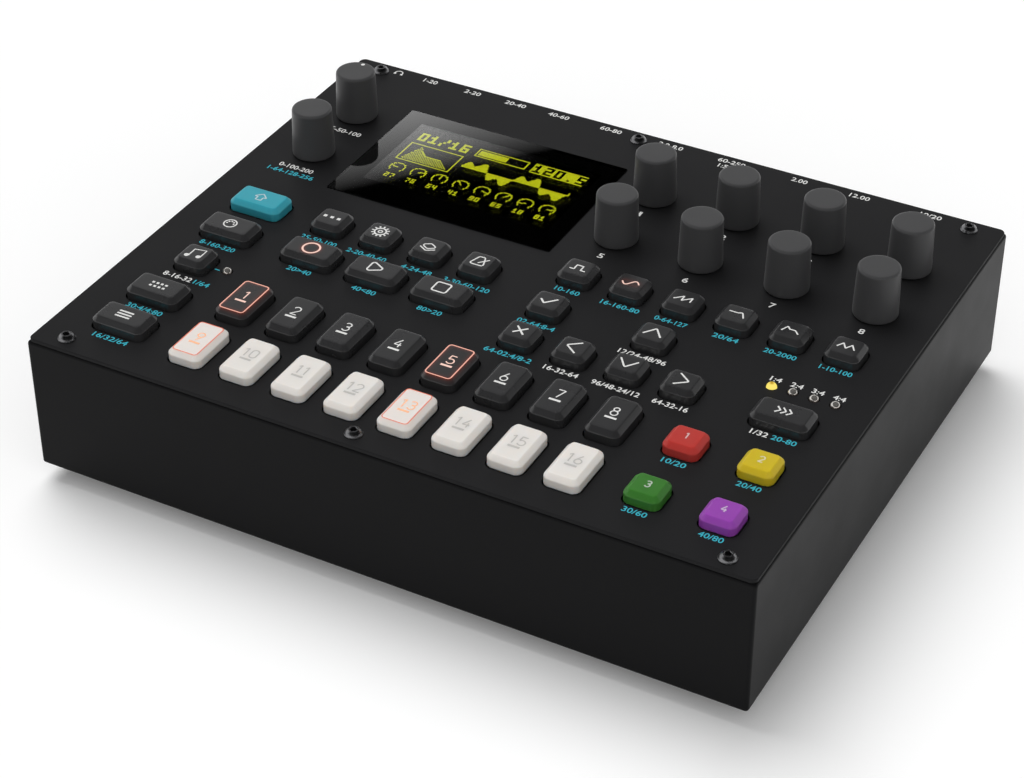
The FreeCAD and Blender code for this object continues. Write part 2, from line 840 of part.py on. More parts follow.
def audio_jack(x):
    """Socket body with a bushing through the rear wall and a blind bore."""
    z = main_board_top_z + jack_axis_height
    y_face = rear_inner_y - socket_wall_gap
    y_tip = rear_y + jack_nut_thickness + jack_bushing_proud
    body_z = main_board_top_z + jack_body_height / 2
    body = block_along_y(x, body_z, jack_body_width, jack_body_height,
                         y_face - jack_body_depth, y_face)
    bushing = cylinder_along_y(x, z, jack_bushing_radius, y_face, y_tip)
    bore = cylinder_along_y(x, z, jack_bore_radius, y_tip - jack_bore_depth, y_tip)
    return body.fuse(bushing).cut(bore)


def jack_nut(x):
    """Hexagonal nut on the bushing, outside the rear wall."""
    z = main_board_top_z + jack_axis_height
    nut = hexagon_prism(Vector(x, rear_y, z), Vector(0, 1, 0), jack_nut_flats,
                        jack_nut_thickness)
    hole = cylinder_along_y(x, z, jack_bushing_radius + screw_thread_fit, rear_y,
                            rear_y + jack_nut_thickness)
    return nut.cut(hole)


def audio_jacks():
    """The five jacks with their nuts."""
    pieces = []
    for x in jack_places():
        pieces.append(audio_jack(x))
        pieces.append(jack_nut(x))
    return Part.makeCompound(pieces)


def midi_socket(x):
    """Housing of a round five-pin socket, with its collar in the rear wall."""
    z = main_board_top_z + midi_axis_height
    y_face = rear_inner_y - socket_wall_gap
    body_z = main_board_top_z + midi_body_height / 2
    body = block_along_y(x, body_z, midi_body_width, midi_body_height,
                         y_face - midi_body_depth, y_face)
    collar = cylinder_along_y(x, z, midi_collar_radius, y_face, rear_y)
    bore = cylinder_along_y(x, z, midi_bore_radius, rear_y - midi_bore_depth, rear_y)
    return body.fuse(collar).cut(bore)


def midi_core(x):
    """Insert of the socket, with its five pin holes on a half circle."""
    z = main_board_top_z + midi_axis_height
    core = cylinder_along_y(x, z, midi_core_radius, rear_y - midi_bore_depth, rear_y)
    pins = []
    for i in range(5):
        angle = math.radians(i * midi_pin_angle)
        pin_x = x + midi_pin_circle_radius * math.cos(angle)
        pin_z = z - midi_pin_circle_radius * math.sin(angle)
        pins.append(cylinder_along_y(pin_x, pin_z, midi_pin_radius, rear_y - midi_pin_depth,
                                     rear_y))
    return core.cut(Part.makeCompound(pins))


def midi_sockets():
    """Housings of the three round five-pin sockets."""
    return Part.makeCompound([midi_socket(x) for x in midi_places()])


def midi_cores():
    """Inserts of the three round five-pin sockets."""
    return Part.makeCompound([midi_core(x) for x in midi_places()])


def usb_socket():
    """Square data socket: a metal shell with a chamfered mouth and a tongue."""
    z = main_board_top_z + usb_height / 2
    shell = block_along_y(usb_x, z, usb_width, usb_height, rear_y - usb_depth, rear_y)
    half_width = usb_mouth_width / 2
    half_height = usb_mouth_height / 2
    cut = usb_mouth_chamfer
    y_back = rear_y - usb_mouth_depth
    corners = [
        Vector(usb_x - half_width, y_back, z - half_height),
        Vector(usb_x + half_width, y_back, z - half_height),
        Vector(usb_x + half_width, y_back, z + half_height - cut),
        Vector(usb_x + half_width - cut, y_back, z + half_height),
        Vector(usb_x - half_width + cut, y_back, z + half_height),
        Vector(usb_x - half_width, y_back, z + half_height - cut),
        Vector(usb_x - half_width, y_back, z - half_height),
    ]
    mouth = Part.Face(Part.makePolygon(corners)).extrude(Vector(0, usb_mouth_depth, 0))
    tongue = block_along_y(usb_x, z, usb_tongue_width, usb_tongue_height, y_back,
                           rear_y - usb_tongue_setback)
    return shell.cut(mouth).fuse(tongue)


def dc_socket():
    """Power inlet: a block with a round collar, a bore and a centre pin."""
    z = main_board_top_z + dc_axis_height
    y_face = rear_inner_y - socket_wall_gap
    y_back = rear_y - dc_bore_depth
    body_z = main_board_top_z + dc_height / 2
    body = block_along_y(dc_x, body_z, dc_width, dc_height, y_face - dc_depth, y_face)
    collar = cylinder_along_y(dc_x, z, dc_collar_radius, y_face, rear_y)
    bore = cylinder_along_y(dc_x, z, dc_bore_radius, y_back, rear_y)
    pin = cylinder_along_y(dc_x, z, dc_pin_radius, y_back, rear_y - dc_pin_setback)
    return body.fuse(collar).cut(bore).fuse(pin)


def usb_and_dc_sockets():
    """The data socket and the power inlet, two separate pieces."""
    return Part.makeCompound([usb_socket(), dc_socket()])


def power_prism(side, radius, y_low, y_high):
    """Square bar with rounded edges on the axis of the power button."""
    wire = rounded_rectangle(side, side, radius, 0)
    bar = Part.Face(wire).extrude(Vector(0, 0, y_high - y_low))
    z = main_board_top_z + power_axis_height
    turn = FreeCAD.Rotation(Vector(0, 0, 1), Vector(0, 1, 0))
    bar.Placement = FreeCAD.Placement(Vector(power_x, y_low, z), turn)
    return bar


def power_switch():
    """Latching switch body with a square channel for the neck of its button."""
    z = main_board_top_z + power_body_side / 2
    y_face = rear_inner_y - power_body_setback
    body = block_along_y(power_x, z, power_body_side, power_body_side,
                         y_face - power_body_depth, y_face)
    side = power_neck_side + 2 * power_neck_gap
    depth = power_neck_length + power_button_travel
    channel = block_along_y(power_x, main_board_top_z + power_axis_height, side, side,
                            y_face - depth, y_face)
    return body.cut(channel)


def power_button():
    """Push button through the rear wall, with the neck that enters the switch."""
    y_tip = rear_y + power_button_proud
    y_back = rear_inner_y - power_body_setback + power_button_travel + power_neck_gap
    head = power_prism(power_button_side, power_button_radius, y_back, y_tip)
    y_neck = rear_inner_y - power_body_setback - power_neck_length + power_neck_gap
    neck = block_along_y(power_x, main_board_top_z + power_axis_height, power_neck_side,
                         power_neck_side, y_neck, y_back)
    return head.fuse(neck)


def build_nodes():
    """Every sub-part by the name of its file."""
    nodes = {
        "case_tray": case_tray(),
        "top_panel": top_panel(),
        "button_head_screws": button_head_screws(),
        "rubber_feet": rubber_feet(),
        "display_window": display_window(),
        "display_module": display_module(),
        "control_board": control_board(),
        "main_board": main_board(),
        "push_switches": push_switches(),
        "rotary_encoders": rotary_encoders(),
        "status_lamps": status_lamps(),
        "audio_jacks": audio_jacks(),
        "midi_sockets": midi_sockets(),
        "midi_cores": midi_cores(),
        "usb_and_dc_sockets": usb_and_dc_sockets(),
        "power_button": power_button(),
    }
    nodes.update(keys_by_node())
    for name, x, y in all_knobs():
        nodes[name] = knob(x, y)
    return nodes


def main():
    """Build every sub-part and write it to the parts folder."""
    os.makedirs("parts", exist_ok=True)
    for name, shape in build_nodes().items():
        shape.exportStep("parts/%s.step" % name)


main()
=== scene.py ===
import math

import bmesh
import bpy
from bpy.props import FloatProperty, FloatVectorProperty, IntProperty, PointerProperty
from mathutils import Matrix, Vector


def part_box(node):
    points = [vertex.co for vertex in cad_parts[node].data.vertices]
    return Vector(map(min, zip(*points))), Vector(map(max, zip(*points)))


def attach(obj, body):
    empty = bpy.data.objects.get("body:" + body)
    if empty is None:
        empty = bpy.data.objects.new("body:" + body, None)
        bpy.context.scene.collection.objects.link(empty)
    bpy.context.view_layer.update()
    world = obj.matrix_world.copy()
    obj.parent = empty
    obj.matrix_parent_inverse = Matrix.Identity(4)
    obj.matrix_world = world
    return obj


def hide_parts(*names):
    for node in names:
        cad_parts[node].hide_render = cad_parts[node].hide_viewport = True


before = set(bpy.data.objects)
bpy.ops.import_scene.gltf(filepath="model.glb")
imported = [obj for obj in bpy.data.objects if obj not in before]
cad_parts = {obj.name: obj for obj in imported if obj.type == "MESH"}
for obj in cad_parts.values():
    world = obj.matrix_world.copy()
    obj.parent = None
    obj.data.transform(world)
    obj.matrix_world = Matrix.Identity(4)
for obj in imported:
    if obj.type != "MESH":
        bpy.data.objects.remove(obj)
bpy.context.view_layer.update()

bl_info = {
    "name": "Desktop Synthesizer",
    "version": (1, 0, 0),
    "blender": (4, 5, 0),
    "location": "View3D > Sidebar > Synthesizer",
    "description": "Finished surfaces, prints, display and lights for a desktop synthesizer",
    "category": "Object",
}

MM = 0.001
CHASSIS = "chassis"
INK_THICKNESS = 0.03 * MM
# Points nearer than this are one point, in the meshes made here and in the CAD's.
SAME_POINT, SAME_CAD_POINT = 1e-7, 1e-6
# Patches in which a moulded or painted skin differs in gloss, such as from handling.
PATCH = 14 * MM
# Nearly all values of a noise texture lie between these.
NOISE_LOW, NOISE_HIGH = 0.3, 0.7


# ---------------------------------------------------------------- colours and nodes

def linear(code):
    """Linear colour of an sRGB hex code."""
    values = []
    for i in (0, 2, 4):
        value = int(code[i:i + 2], 16) / 255
        values.append(value / 12.92 if value <= 0.04045 else ((value + 0.055) / 1.055) ** 2.4)
    return tuple(values)


def add_node(tree, kind, inputs=None, **settings):
    """Adds a node with its settings. An input takes a value, another node's socket, or another
    node, which gives its first output."""
    node = tree.nodes.new(kind)
    for name, value in settings.items():
        setattr(node, name, value)
    for name, value in (inputs or {}).items():
        if isinstance(value, bpy.types.Node):
            value = value.outputs[0]
        if isinstance(value, bpy.types.NodeSocket):
            tree.links.new(value, node.inputs[name])
        else:
            node.inputs[name].default_value = value
    return node


def solid(colour):
    """Colour with full alpha, for a shader's socket."""
    return (*colour, 1.0)


def new_material(name):
    """Empty material and its tree."""
    finish = bpy.data.materials.new(name)
    finish.use_nodes = True
    finish.node_tree.nodes.clear()
    return finish, finish.node_tree


def surface(name, colour, roughness, grain=0.0, bump=0.0, spread=0.0, **inputs):
    """Principled material. A grain gives a fine relief of that size and the bump its height,
    both in millimetres. The spread is how much the roughness wanders over the patches of the
    skin. Further inputs have underscores for the spaces in their names."""
    finish, tree = new_material(name)
    place = add_node(tree, "ShaderNodeTexCoord")
    values = {"Base Color": solid(colour), "Roughness": roughness}
    values.update((key.replace("_", " "), value) for key, value in inputs.items())
    if grain:
        noise = add_node(tree, "ShaderNodeTexNoise", {
            "Vector": place.outputs["Object"], "Scale": 1 / (grain * MM), "Detail": 2.0})
        values["Normal"] = add_node(tree, "ShaderNodeBump", {
            "Height": noise, "Strength": 1.0, "Distance": bump * MM})
    if spread:
        patches = add_node(tree, "ShaderNodeTexNoise", {
            "Vector": place.outputs["Object"], "Scale": 1 / PATCH, "Detail": 4.0})
        values["Roughness"] = add_node(tree, "ShaderNodeMapRange", {
            "Value": patches, "From Min": NOISE_LOW, "From Max": NOISE_HIGH,
            "To Min": roughness - spread, "To Max": roughness + spread})
    shader = add_node(tree, "ShaderNodeBsdfPrincipled", values, name="surface")
    add_node(tree, "ShaderNodeOutputMaterial", {"Surface": shader})
    return finish


def glow(name, colour):
    """Light of a lit legend or of the display's dots."""
    finish, tree = new_material(name)
    shader = add_node(tree, "ShaderNodeEmission", {"Color": solid(colour), "Strength": 1.0})
    add_node(tree, "ShaderNodeOutputMaterial", {"Surface": shader})
    return finish


# ---------------------------------------------------------------- meshes

def polar(radius, degrees, x=0.0, y=0.0):
    """Point at a distance and an angle from x, y."""
    angle = math.radians(degrees)
    return x + radius * math.cos(angle), y + radius * math.sin(angle)


def rounded_ring(x, y, z, width, depth, radius, steps=6):
    """Points round an upright block with rounded corners."""
    points = []
    for sign_x, sign_y, start in ((1, 1, 0), (-1, 1, 90), (-1, -1, 180), (1, -1, 270)):
        centre_x = x + sign_x * (width / 2 - radius)
        centre_y = y + sign_y * (depth / 2 - radius)
        for i in range(steps + 1):
            points.append((*polar(radius, start + 90 * i / steps, centre_x, centre_y), z))
    return points


def round_ring(x, y, z, radius, count, hexagon=False):
    """Points round a circle, or round a hexagon with that radius to its flats."""
    points = []
    for i in range(count):
        angle = math.tau * i / count
        from_flat = (angle + math.pi / 6) % (math.pi / 3) - math.pi / 6
        reach = radius / math.cos(from_flat) if hexagon else radius
        points.append((x + reach * math.cos(angle), y + reach * math.sin(angle), z))
    return points


def softened(profile, radius, steps=3):
    """Profile with each inner corner drawn as a soft curve of about the given radius."""
    points = [profile[0]]
    for before, corner, after in zip(profile, profile[1:], profile[2:]):
        corner = Vector(corner)
        # A curve takes up less than half of a run, so that the next has room on it.
        start, end = (corner + away.normalized() * min(radius, away.length * 0.45)
                      for away in (Vector(before) - corner, Vector(after) - corner))
        for i in range(steps + 1):
            t = i / steps
            points.append(tuple(start * (1 - t) ** 2 + corner * 2 * t * (1 - t) + end * t ** 2))
    points.append(profile[-1])
    return points


def lofted(name, rings):
    """Closed mesh through rings of equal length, with a face over the first and the last."""
    count = len(rings[0])
    vertices = [point for ring in rings for point in ring]
    last = len(vertices) - count
    faces = [list(range(count)), list(range(last, last + count))]
    for row in range(len(rings) - 1):
        for i in range(count):
            a = row * count + i
            b = row * count + (i + 1) % count
            faces.append((a, b, b + count, a + count))
    mesh = bpy.data.meshes.new(name)
    mesh.from_pydata(vertices, [], faces)
    return mesh


def revolved(name, x, y, profile, count):
    """Closed mesh of revolution round an upright axis from (radius, z) points."""
    return lofted(name, [round_ring(x, y, z, radius, count) for radius, z in profile])


def joined(name, meshes):
    """One mesh of several."""
    total = bmesh.new()
    for mesh in meshes:
        total.from_mesh(mesh)
    result = bpy.data.meshes.new(name)
    total.to_mesh(result)
    total.free()
    return result


def tidied(mesh):
    """The mesh with its doubles merged and its faces pointing outwards."""
    work = bmesh.new()
    work.from_mesh(mesh)
    bmesh.ops.remove_doubles(work, verts=work.verts, dist=SAME_POINT)
    bmesh.ops.recalc_face_normals(work, faces=work.faces)
    work.to_mesh(mesh)
    work.free()
    return mesh


def moved(mesh, x, y, z):
    """The mesh moved by the given distances."""
    mesh.transform(Matrix.Translation((x, y, z)))
    return mesh


def linked(name, mesh):
    """Object of a mesh in the scene."""
    piece = bpy.data.objects.new(name, mesh)
    bpy.context.scene.collection.objects.link(piece)
    return piece


def evaluated_mesh(piece):
    """Plain mesh of an object as its modifiers leave it."""
    bpy.context.view_layer.update()
    graph = bpy.context.evaluated_depsgraph_get()
    return bpy.data.meshes.new_from_object(piece.evaluated_get(graph))


def plain_mesh(piece):
    """The same, for an object that is only there to make it."""
    mesh = evaluated_mesh(piece)
    bpy.data.objects.remove(piece)
    return mesh


def finish_piece(mesh, name, body, finish, replaces=(), crease=35, tidy=True):
    """Puts a finished mesh on its body, with flat faces shaded flat and soft edges shaded soft."""
    if tidy:
        tidied(mesh)
    mesh.materials.clear()
    mesh.materials.append(finish)
    mesh.shade_smooth()
    mesh.set_sharp_from_angle(angle=math.radians(crease))
    piece = linked(name, mesh)
    weights = piece.modifiers.new("flat faces", "WEIGHTED_NORMAL")
    weights.keep_sharp = True
    weights.weight = 100
    shaded = evaluated_mesh(piece)
    piece.modifiers.clear()
    piece.data = shaded
    shaded.name = name
    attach(piece, body)
    if replaces:
        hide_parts(*replaces)


def shells(node):
    """(mesh, lowest corner, highest corner) of each solid of a CAD node, as merged copies."""
    work = bmesh.new()
    work.from_mesh(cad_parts[node].data)
    bmesh.ops.remove_doubles(work, verts=work.verts, dist=SAME_CAD_POINT)
    found, seen = [], set()
    for first in work.verts:
        if first in seen:
            continue
        shell, front = [first], [first]
        seen.add(first)
        while front:
            for edge in front.pop().link_edges:
                for other in edge.verts:
                    if other not in seen:
                        seen.add(other)
                        shell.append(other)
                        front.append(other)
        order = {vertex: i for i, vertex in enumerate(shell)}
        faces = {face for vertex in shell for face in vertex.link_faces}
        corners = sorted([order[vertex] for vertex in face.verts] for face in faces)
        mesh = bpy.data.meshes.new(node)
        mesh.from_pydata([vertex.co for vertex in shell], [], corners)
        low = Vector([min(vertex.co[i] for vertex in shell) for i in range(3)])
        high = Vector([max(vertex.co[i] for vertex in shell) for i in range(3)])
        found.append((mesh, low, high))
    work.free()
    return found


def solids(node):
    """(lowest, highest) corners of each solid of a CAD node, in metres."""
    return [(low, high) for mesh, low, high in shells(node)]


def top_middle(box):
    """Middle of the top of a box of two corners."""
    low, high = box
    return (low.x + high.x) / 2, (low.y + high.y) / 2, high.z


def part_of(node, name, body, slot, finish, chosen, edge, replaces=()):
    """Finished piece of the solids of a CAD node at the chosen places in its list, with its
    sharp edges broken by some millimetres."""
    parts = [mesh for i, (mesh, low, high) in enumerate(shells(node)) if i in chosen]
    piece = linked(name, tidied(joined(name, parts)))
    broken = piece.modifiers.new("broken edges", "BEVEL")
    broken.width = edge * MM
    broken.segments = 2
    broken.limit_method = "ANGLE"
    broken.angle_limit = math.radians(40)
    finish_piece(plain_mesh(piece), name, body, finish, replaces, 40, False)


# ---------------------------------------------------------------- node trees

def start_tree(name, inputs):
    """Geometry tree with named inputs and one geometry output, and its inputs' sockets."""
    tree = bpy.data.node_groups.new(name, "GeometryNodeTree")
    for label, kind in inputs.items():
        tree.interface.new_socket(label, in_out="INPUT", socket_type="NodeSocket" + kind)
    tree.interface.new_socket("Result", in_out="OUTPUT", socket_type="NodeSocketGeometry")
    return tree, add_node(tree, "NodeGroupInput").outputs


def end_tree(tree, geometry, finish):
    """Ends a tree with plain geometry and its material."""
    real = add_node(tree, "GeometryNodeRealizeInstances", {"Geometry": geometry})
    painted = add_node(tree, "GeometryNodeSetMaterial", {"Geometry": real, "Material": finish})
    add_node(tree, "NodeGroupOutput", {"Result": painted})
    return tree


def repeat_tree(name):
    """Puts one piece on each point of a mesh."""
    tree, entry = start_tree(name, {
        "Points": "Geometry", "Piece": "Object", "Material": "Material"})
    piece = add_node(tree, "GeometryNodeObjectInfo", {
        "Object": entry["Piece"], "As Instance": True})
    points = add_node(tree, "GeometryNodeMeshToPoints", {"Mesh": entry["Points"]})
    copies = add_node(tree, "GeometryNodeInstanceOnPoints", {
        "Points": points, "Instance": piece.outputs["Geometry"]})
    return end_tree(tree, copies, entry["Material"])


def stroke_tree(name):
    """Draws flat strokes with rounded corners along the edges of a mesh."""
    tree, entry = start_tree(name, {
        "Paths": "Geometry", "Width": "Float", "Corner": "Float", "Thickness": "Float",
        "Material": "Material"})
    path = add_node(tree, "GeometryNodeMeshToCurve", {"Mesh": entry["Paths"]})
    corners = add_node(tree, "GeometryNodeFilletCurve", {
        "Curve": path, "Count": 4, "Limit Radius": True, "Radius": entry["Corner"]},
        mode="POLY")
    half = add_node(tree, "ShaderNodeMath", {0: entry["Width"], 1: 0.5}, operation="MULTIPLY")
    outline = add_node(tree, "GeometryNodeCurvePrimitiveCircle", {
        "Resolution": 8, "Radius": half})
    stroke = add_node(tree, "GeometryNodeCurveToMesh", {
        "Curve": corners, "Profile Curve": outline, "Fill Caps": True})
    flatness = add_node(tree, "ShaderNodeMath", {0: entry["Thickness"], 1: entry["Width"]},
                        operation="DIVIDE")
    scale = add_node(tree, "ShaderNodeCombineXYZ", {"X": 1.0, "Y": 1.0, "Z": flatness})
    flat = add_node(tree, "GeometryNodeTransform", {"Geometry": stroke, "Scale": scale})
    return end_tree(tree, flat, entry["Material"])


def grown(name, base, maker, values):
    """Mesh that a geometry tree makes from a base mesh with the given input values. The tree is
    made when it is first needed."""
    tree = bpy.data.node_groups.get(name) or maker(name)
    piece = linked(name, base)
    modifier = piece.modifiers.new(name, "NODES")
    modifier.node_group = tree
    for item in tree.interface.items_tree:
        if item.item_type == "SOCKET" and item.in_out == "INPUT" and item.name in values:
            modifier[item.identifier] = values[item.name]
    return plain_mesh(piece)


def repeated(pattern, places, finish):
    """One mesh with a copy of the pattern mesh at each place."""
    points = bpy.data.meshes.new("places")
    points.from_pydata([tuple(place) for place in places], [], [])
    piece = linked("pattern", pattern)
    mesh = grown("repeat_on_points", points, repeat_tree, {"Piece": piece, "Material": finish})
    bpy.data.objects.remove(piece)
    return mesh


def strokes(paths, width, corner, ink):
    """Flat strokes along paths. A path is its points, in millimetres, and whether it closes."""
    vertices, edges = [], []
    for points, closes in paths:
        first = len(vertices)
        vertices += [(x * MM, y * MM, 0.0) for x, y in points]
        edges += [(i, i + 1) for i in range(first, len(vertices) - 1)]
        if closes:
            edges.append((len(vertices) - 1, first))
    base = bpy.data.meshes.new("paths")
    base.from_pydata(vertices, edges, [])
    return grown("ink_strokes", base, stroke_tree, {
        "Width": width * MM, "Corner": corner * MM, "Thickness": 2 * INK_THICKNESS,
        "Material": ink})


def lettering(text, height, width, x, y, z):
    """Mesh of a line of bold text of that height and width, centred on x, y with its base
    at z."""
    curve = bpy.data.curves.new("lettering", "FONT")
    curve.body = text
    curve.resolution_u = 3
    # The outline moves outwards by this share of the font's size, which makes it bold.
    curve.offset = 0.012
    curve.extrude = 0.5
    mesh = plain_mesh(linked("lettering", curve))
    low = [min(v.co[i] for v in mesh.vertices) for i in range(3)]
    high = [max(v.co[i] for v in mesh.vertices) for i in range(3)]
    scale = height / (high[1] - low[1])
    stretch = width / (high[0] - low[0])
    for vertex in mesh.vertices:
        vertex.co.x = x + (vertex.co.x - (low[0] + high[0]) / 2) * stretch
        vertex.co.y = y + (vertex.co.y - (low[1] + high[1]) / 2) * scale
        vertex.co.z = z + (0.0 if vertex.co.z < 0 else INK_THICKNESS)
    return mesh


# ---------------------------------------------------------------- sizes and colours

def length(name, description, millimetres):
    """Property for a length."""
    return FloatProperty(name=name, description=description, default=millimetres * MM,
                         unit="LENGTH")


def tint(name, description, code):
    """Property for a colour."""
    return FloatVectorProperty(name=name, description=description, default=linear(code),
                               subtype="COLOR")


class SynthCase(bpy.types.PropertyGroup):
    """Colours and screw sizes of the case"""
    # The case's coat is drawn darker than the panel's, though both are one paint: this is painted
    # shade on the case's walls.
    case: tint("Case", "Powder coat of the case", "121213")
    panel: tint("Panel", "Powder coat of the panel", "232324")
    rubber: tint("Rubber", "Rubber of the feet", "161616")
    screw_head: length("Screw head", "Radius of the button heads", 2.5)
    screw_head_height: length("Head height", "Height of the button heads", 1.6)
    screw_socket: length("Hexagon socket", "Size across the flats of the socket", 1.74)
    screw_shank: length("Shank", "Radius of the shank", 1.25)


class SynthKnobs(bpy.types.PropertyGroup):
    """Sizes and colour of the knobs"""
    edge: length("Top edge", "Radius of the edge round the top", 0.8)
    top_radius: length("Top radius", "Radius at the top", 5.95)
    base_radius: length("Base radius", "Radius at the base", 6.4)
    recess_radius: length("Recess radius", "Radius of the recess under the knob", 4.6)
    recess_depth: length("Recess depth", "Depth of the recess under the knob", 2.5)
    spindle_radius: length("Spindle radius", "Radius of the spindle", 3.0)
    height: length("Height", "Height of the knob itself", 15.0)
    colour: tint("Colour", "Soft-touch black", "424243")


class SynthKeys(bpy.types.PropertyGroup):
    """Sizes and colours of the keys"""
    corner: length("Corner radius", "Radius of the cap's upright corners", 2.3)
    bevel: length("Bevel", "Size of the slope round the flat top", 1.35)
    softness: length("Edge softness", "Radius of the moulded edges", 0.25)
    flange: length("Flange width", "Width of the flange under the panel", 1.0)
    wall: length("Wall", "Thickness of the cap's walls", 2.0)
    roof: length("Roof", "Thickness under the cap's top", 2.4)
    black: tint("Black", "Black ABS", "2f2f30")
    white: tint("White", "Warm white ABS", "e9e5e0")
    teal: tint("Teal", "Teal ABS", "3ca3b3")
    red: tint("Red", "Red ABS", "bc3d36")
    yellow: tint("Yellow", "Yellow ABS", "d0b924")
    green: tint("Green", "Green ABS", "3d7c2e")
    purple: tint("Purple", "Purple ABS", "9a49b1")


class SynthLegends(bpy.types.PropertyGroup):
    """Colours and sizes of the prints"""
    white: tint("White ink", "White screen print", "e6e6e4")
    teal: tint("Teal ink", "Teal screen print", "3fb0c2")
    faint: tint("Grey ink", "Faint print on the white keys", "c8c4bf")
    lit: tint("Lit legend", "Colour of a lit legend", "ffd6c8")
    ember: tint("Light in the plastic", "Colour of the light round a lit legend", "ff5a28")
    line: tint("Lit line on black", "Colour of a lit outline on a black key", "ffbca9")
    pink: tint("Lit line on white", "Colour of a lit outline on a white key", "e8836c")
    peach: tint("Lit number on white", "Colour of a lit number on a white key", "ffc39c")
    caption_height: length("Caption height", "Height of the figures on the panel", 2.05)
    number_height: length("Number height", "Height of the step numbers", 3.5)


class SynthDisplay(bpy.types.PropertyGroup):
    """Sizes and colour of the display"""
    columns: IntProperty(name="Columns", description="Dots across", default=128)
    rows: IntProperty(name="Rows", description="Dots down", default=64)
    pitch: length("Dot pitch", "Distance between the dots", 0.449)
    centre_x: length("Middle X", "Middle of the lit area", -39.7)
    centre_y: length("Middle Y", "Middle of the lit area", 43.0)
    glow: tint("Dots", "Colour of the lit dots", "e3ea24")


class SynthStage(bpy.types.PropertyGroup):
    """Camera and light"""
    eye: FloatVectorProperty(
        name="Eye", description="Place of the camera", subtype="TRANSLATION", unit="LENGTH",
        default=(0.2810, -0.5354, 0.4512))
    aim: FloatVectorProperty(
        name="Aim", description="Direction of view", subtype="DIRECTION",
        default=(-0.3825, 0.7116, -0.5894))
    lens: FloatProperty(
        name="Lens", description="Focal length on a sensor 36 mm wide", default=91.80)
    ambient: FloatProperty(
        name="Ambient", description="Strength of the light from all round", default=0.385)
    front_light: FloatProperty(
        name="Front light", description="How much more of it comes from the viewer's side",
        default=0.56)
    key_light: FloatProperty(
        name="Key light", description="Strength of the main light", default=2.0)
    key_direction: FloatVectorProperty(
        name="Key direction", description="Where the main light comes from",
        subtype="DIRECTION", default=(-0.36, 0.26, 0.90))
    floor: FloatProperty(
        name="Floor", description="Colour of the floor as it lights the object", default=0.5)
    lift: FloatProperty(
        name="Lift", description="Brightness that the floor has in the camera's eye by itself",
        default=0.06)
    dark_edge: FloatProperty(
        name="Edge of the dark", description="Height at which the room turns dark",
        default=0.429)


# ---------------------------------------------------------------- materials

def abs_plastic(name, colour, depth=0.0):
    """Injection-moulded ABS with a spark-eroded skin: an even, soft sheen with a fine
    tooth. In a pale colour light goes a millimetre or so into it, so its sides look lit."""
    if not depth:
        return surface(name, colour, 0.28, 0.35, 0.006, 0.03, IOR=1.53, Specular_IOR_Level=0.5)
    return surface(name, colour, 0.42, 0.35, 0.006, 0.03, IOR=1.53, Specular_IOR_Level=0.3,
                   Subsurface_Weight=1.0, Subsurface_Scale=depth,
                   Subsurface_Radius=(1.0, 0.9, 0.8))


def powder_coat(name, colour, roughness):
    """Satin polyester powder coat on steel: a broad dull sheen and a slight orange peel."""
    return surface(name, colour, roughness, 0.6, 0.004, 0.02, IOR=1.45,
                   Specular_IOR_Level=0.085)


def screen_print(name, colour):
    """Screen-printed ink: flat, with the fine tooth of the mesh that it went through."""
    return surface(name, colour, 0.6, 0.15, 0.003, 0.08, IOR=1.45, Specular_IOR_Level=0.3)


def lit_plastic(name, colour, depth, centre, light, half, corner, line, reach, inside):
    """The same ABS with lamps below it: light leaks out along a rounded outline, fades within
    the reach, and fills what the outline holds a little."""
    finish = abs_plastic(name, colour, depth)
    tree = finish.node_tree
    place = add_node(tree, "ShaderNodeTexCoord")
    # Distance in plan from the outline, which is negative inside it.
    centred = add_node(tree, "ShaderNodeMapping", {
        "Vector": place.outputs["Object"], "Location": tuple(-centre)})
    folded = add_node(tree, "ShaderNodeVectorMath", {0: centred}, operation="ABSOLUTE")
    beyond = add_node(tree, "ShaderNodeVectorMath", {
        0: folded, 1: (half[0] - corner, half[1] - corner, 0.0)}, operation="SUBTRACT")
    parts = add_node(tree, "ShaderNodeSeparateXYZ", {0: beyond}).outputs
    level = add_node(tree, "ShaderNodeCombineXYZ", {"X": parts["X"], "Y": parts["Y"]})
    clipped = add_node(tree, "ShaderNodeVectorMath", {0: level, 1: (0.0, 0.0, 0.0)},
                       operation="MAXIMUM")
    outside = add_node(tree, "ShaderNodeVectorMath", {0: clipped}, operation="LENGTH")
    nearer = add_node(tree, "ShaderNodeMath", {0: parts["X"], 1: parts["Y"]},
                      operation="MAXIMUM")
    within = add_node(tree, "ShaderNodeMath", {0: nearer, 1: 0.0}, operation="MINIMUM")
    both = add_node(tree, "ShaderNodeMath", {0: outside.outputs["Value"], 1: within},
                    operation="ADD")
    distance = add_node(tree, "ShaderNodeMath", {0: both, 1: corner}, operation="SUBTRACT")
    # The light fades with that distance and with the depth below the cap's top.
    apart = add_node(tree, "ShaderNodeCombineXYZ", {"X": distance, "Y": parts["Z"]})
    away = add_node(tree, "ShaderNodeVectorMath", {0: apart}, operation="LENGTH")
    fading = add_node(tree, "ShaderNodeMath", {0: away.outputs["Value"], 1: -reach},
                      operation="DIVIDE")
    leak = add_node(tree, "ShaderNodeMath", {0: fading}, operation="EXPONENT")
    held = add_node(tree, "ShaderNodeMath", {0: distance, 1: 0.0}, operation="LESS_THAN")
    fill = add_node(tree, "ShaderNodeMath", {0: held, 1: inside}, operation="MULTIPLY")
    strength = add_node(tree, "ShaderNodeMath", {0: leak, 1: line, 2: fill},
                        operation="MULTIPLY_ADD")
    sockets = tree.nodes["surface"].inputs
    sockets["Emission Color"].default_value = solid(light)
    tree.links.new(strength.outputs[0], sockets["Emission Strength"])
    return finish


MATERIALS = {}


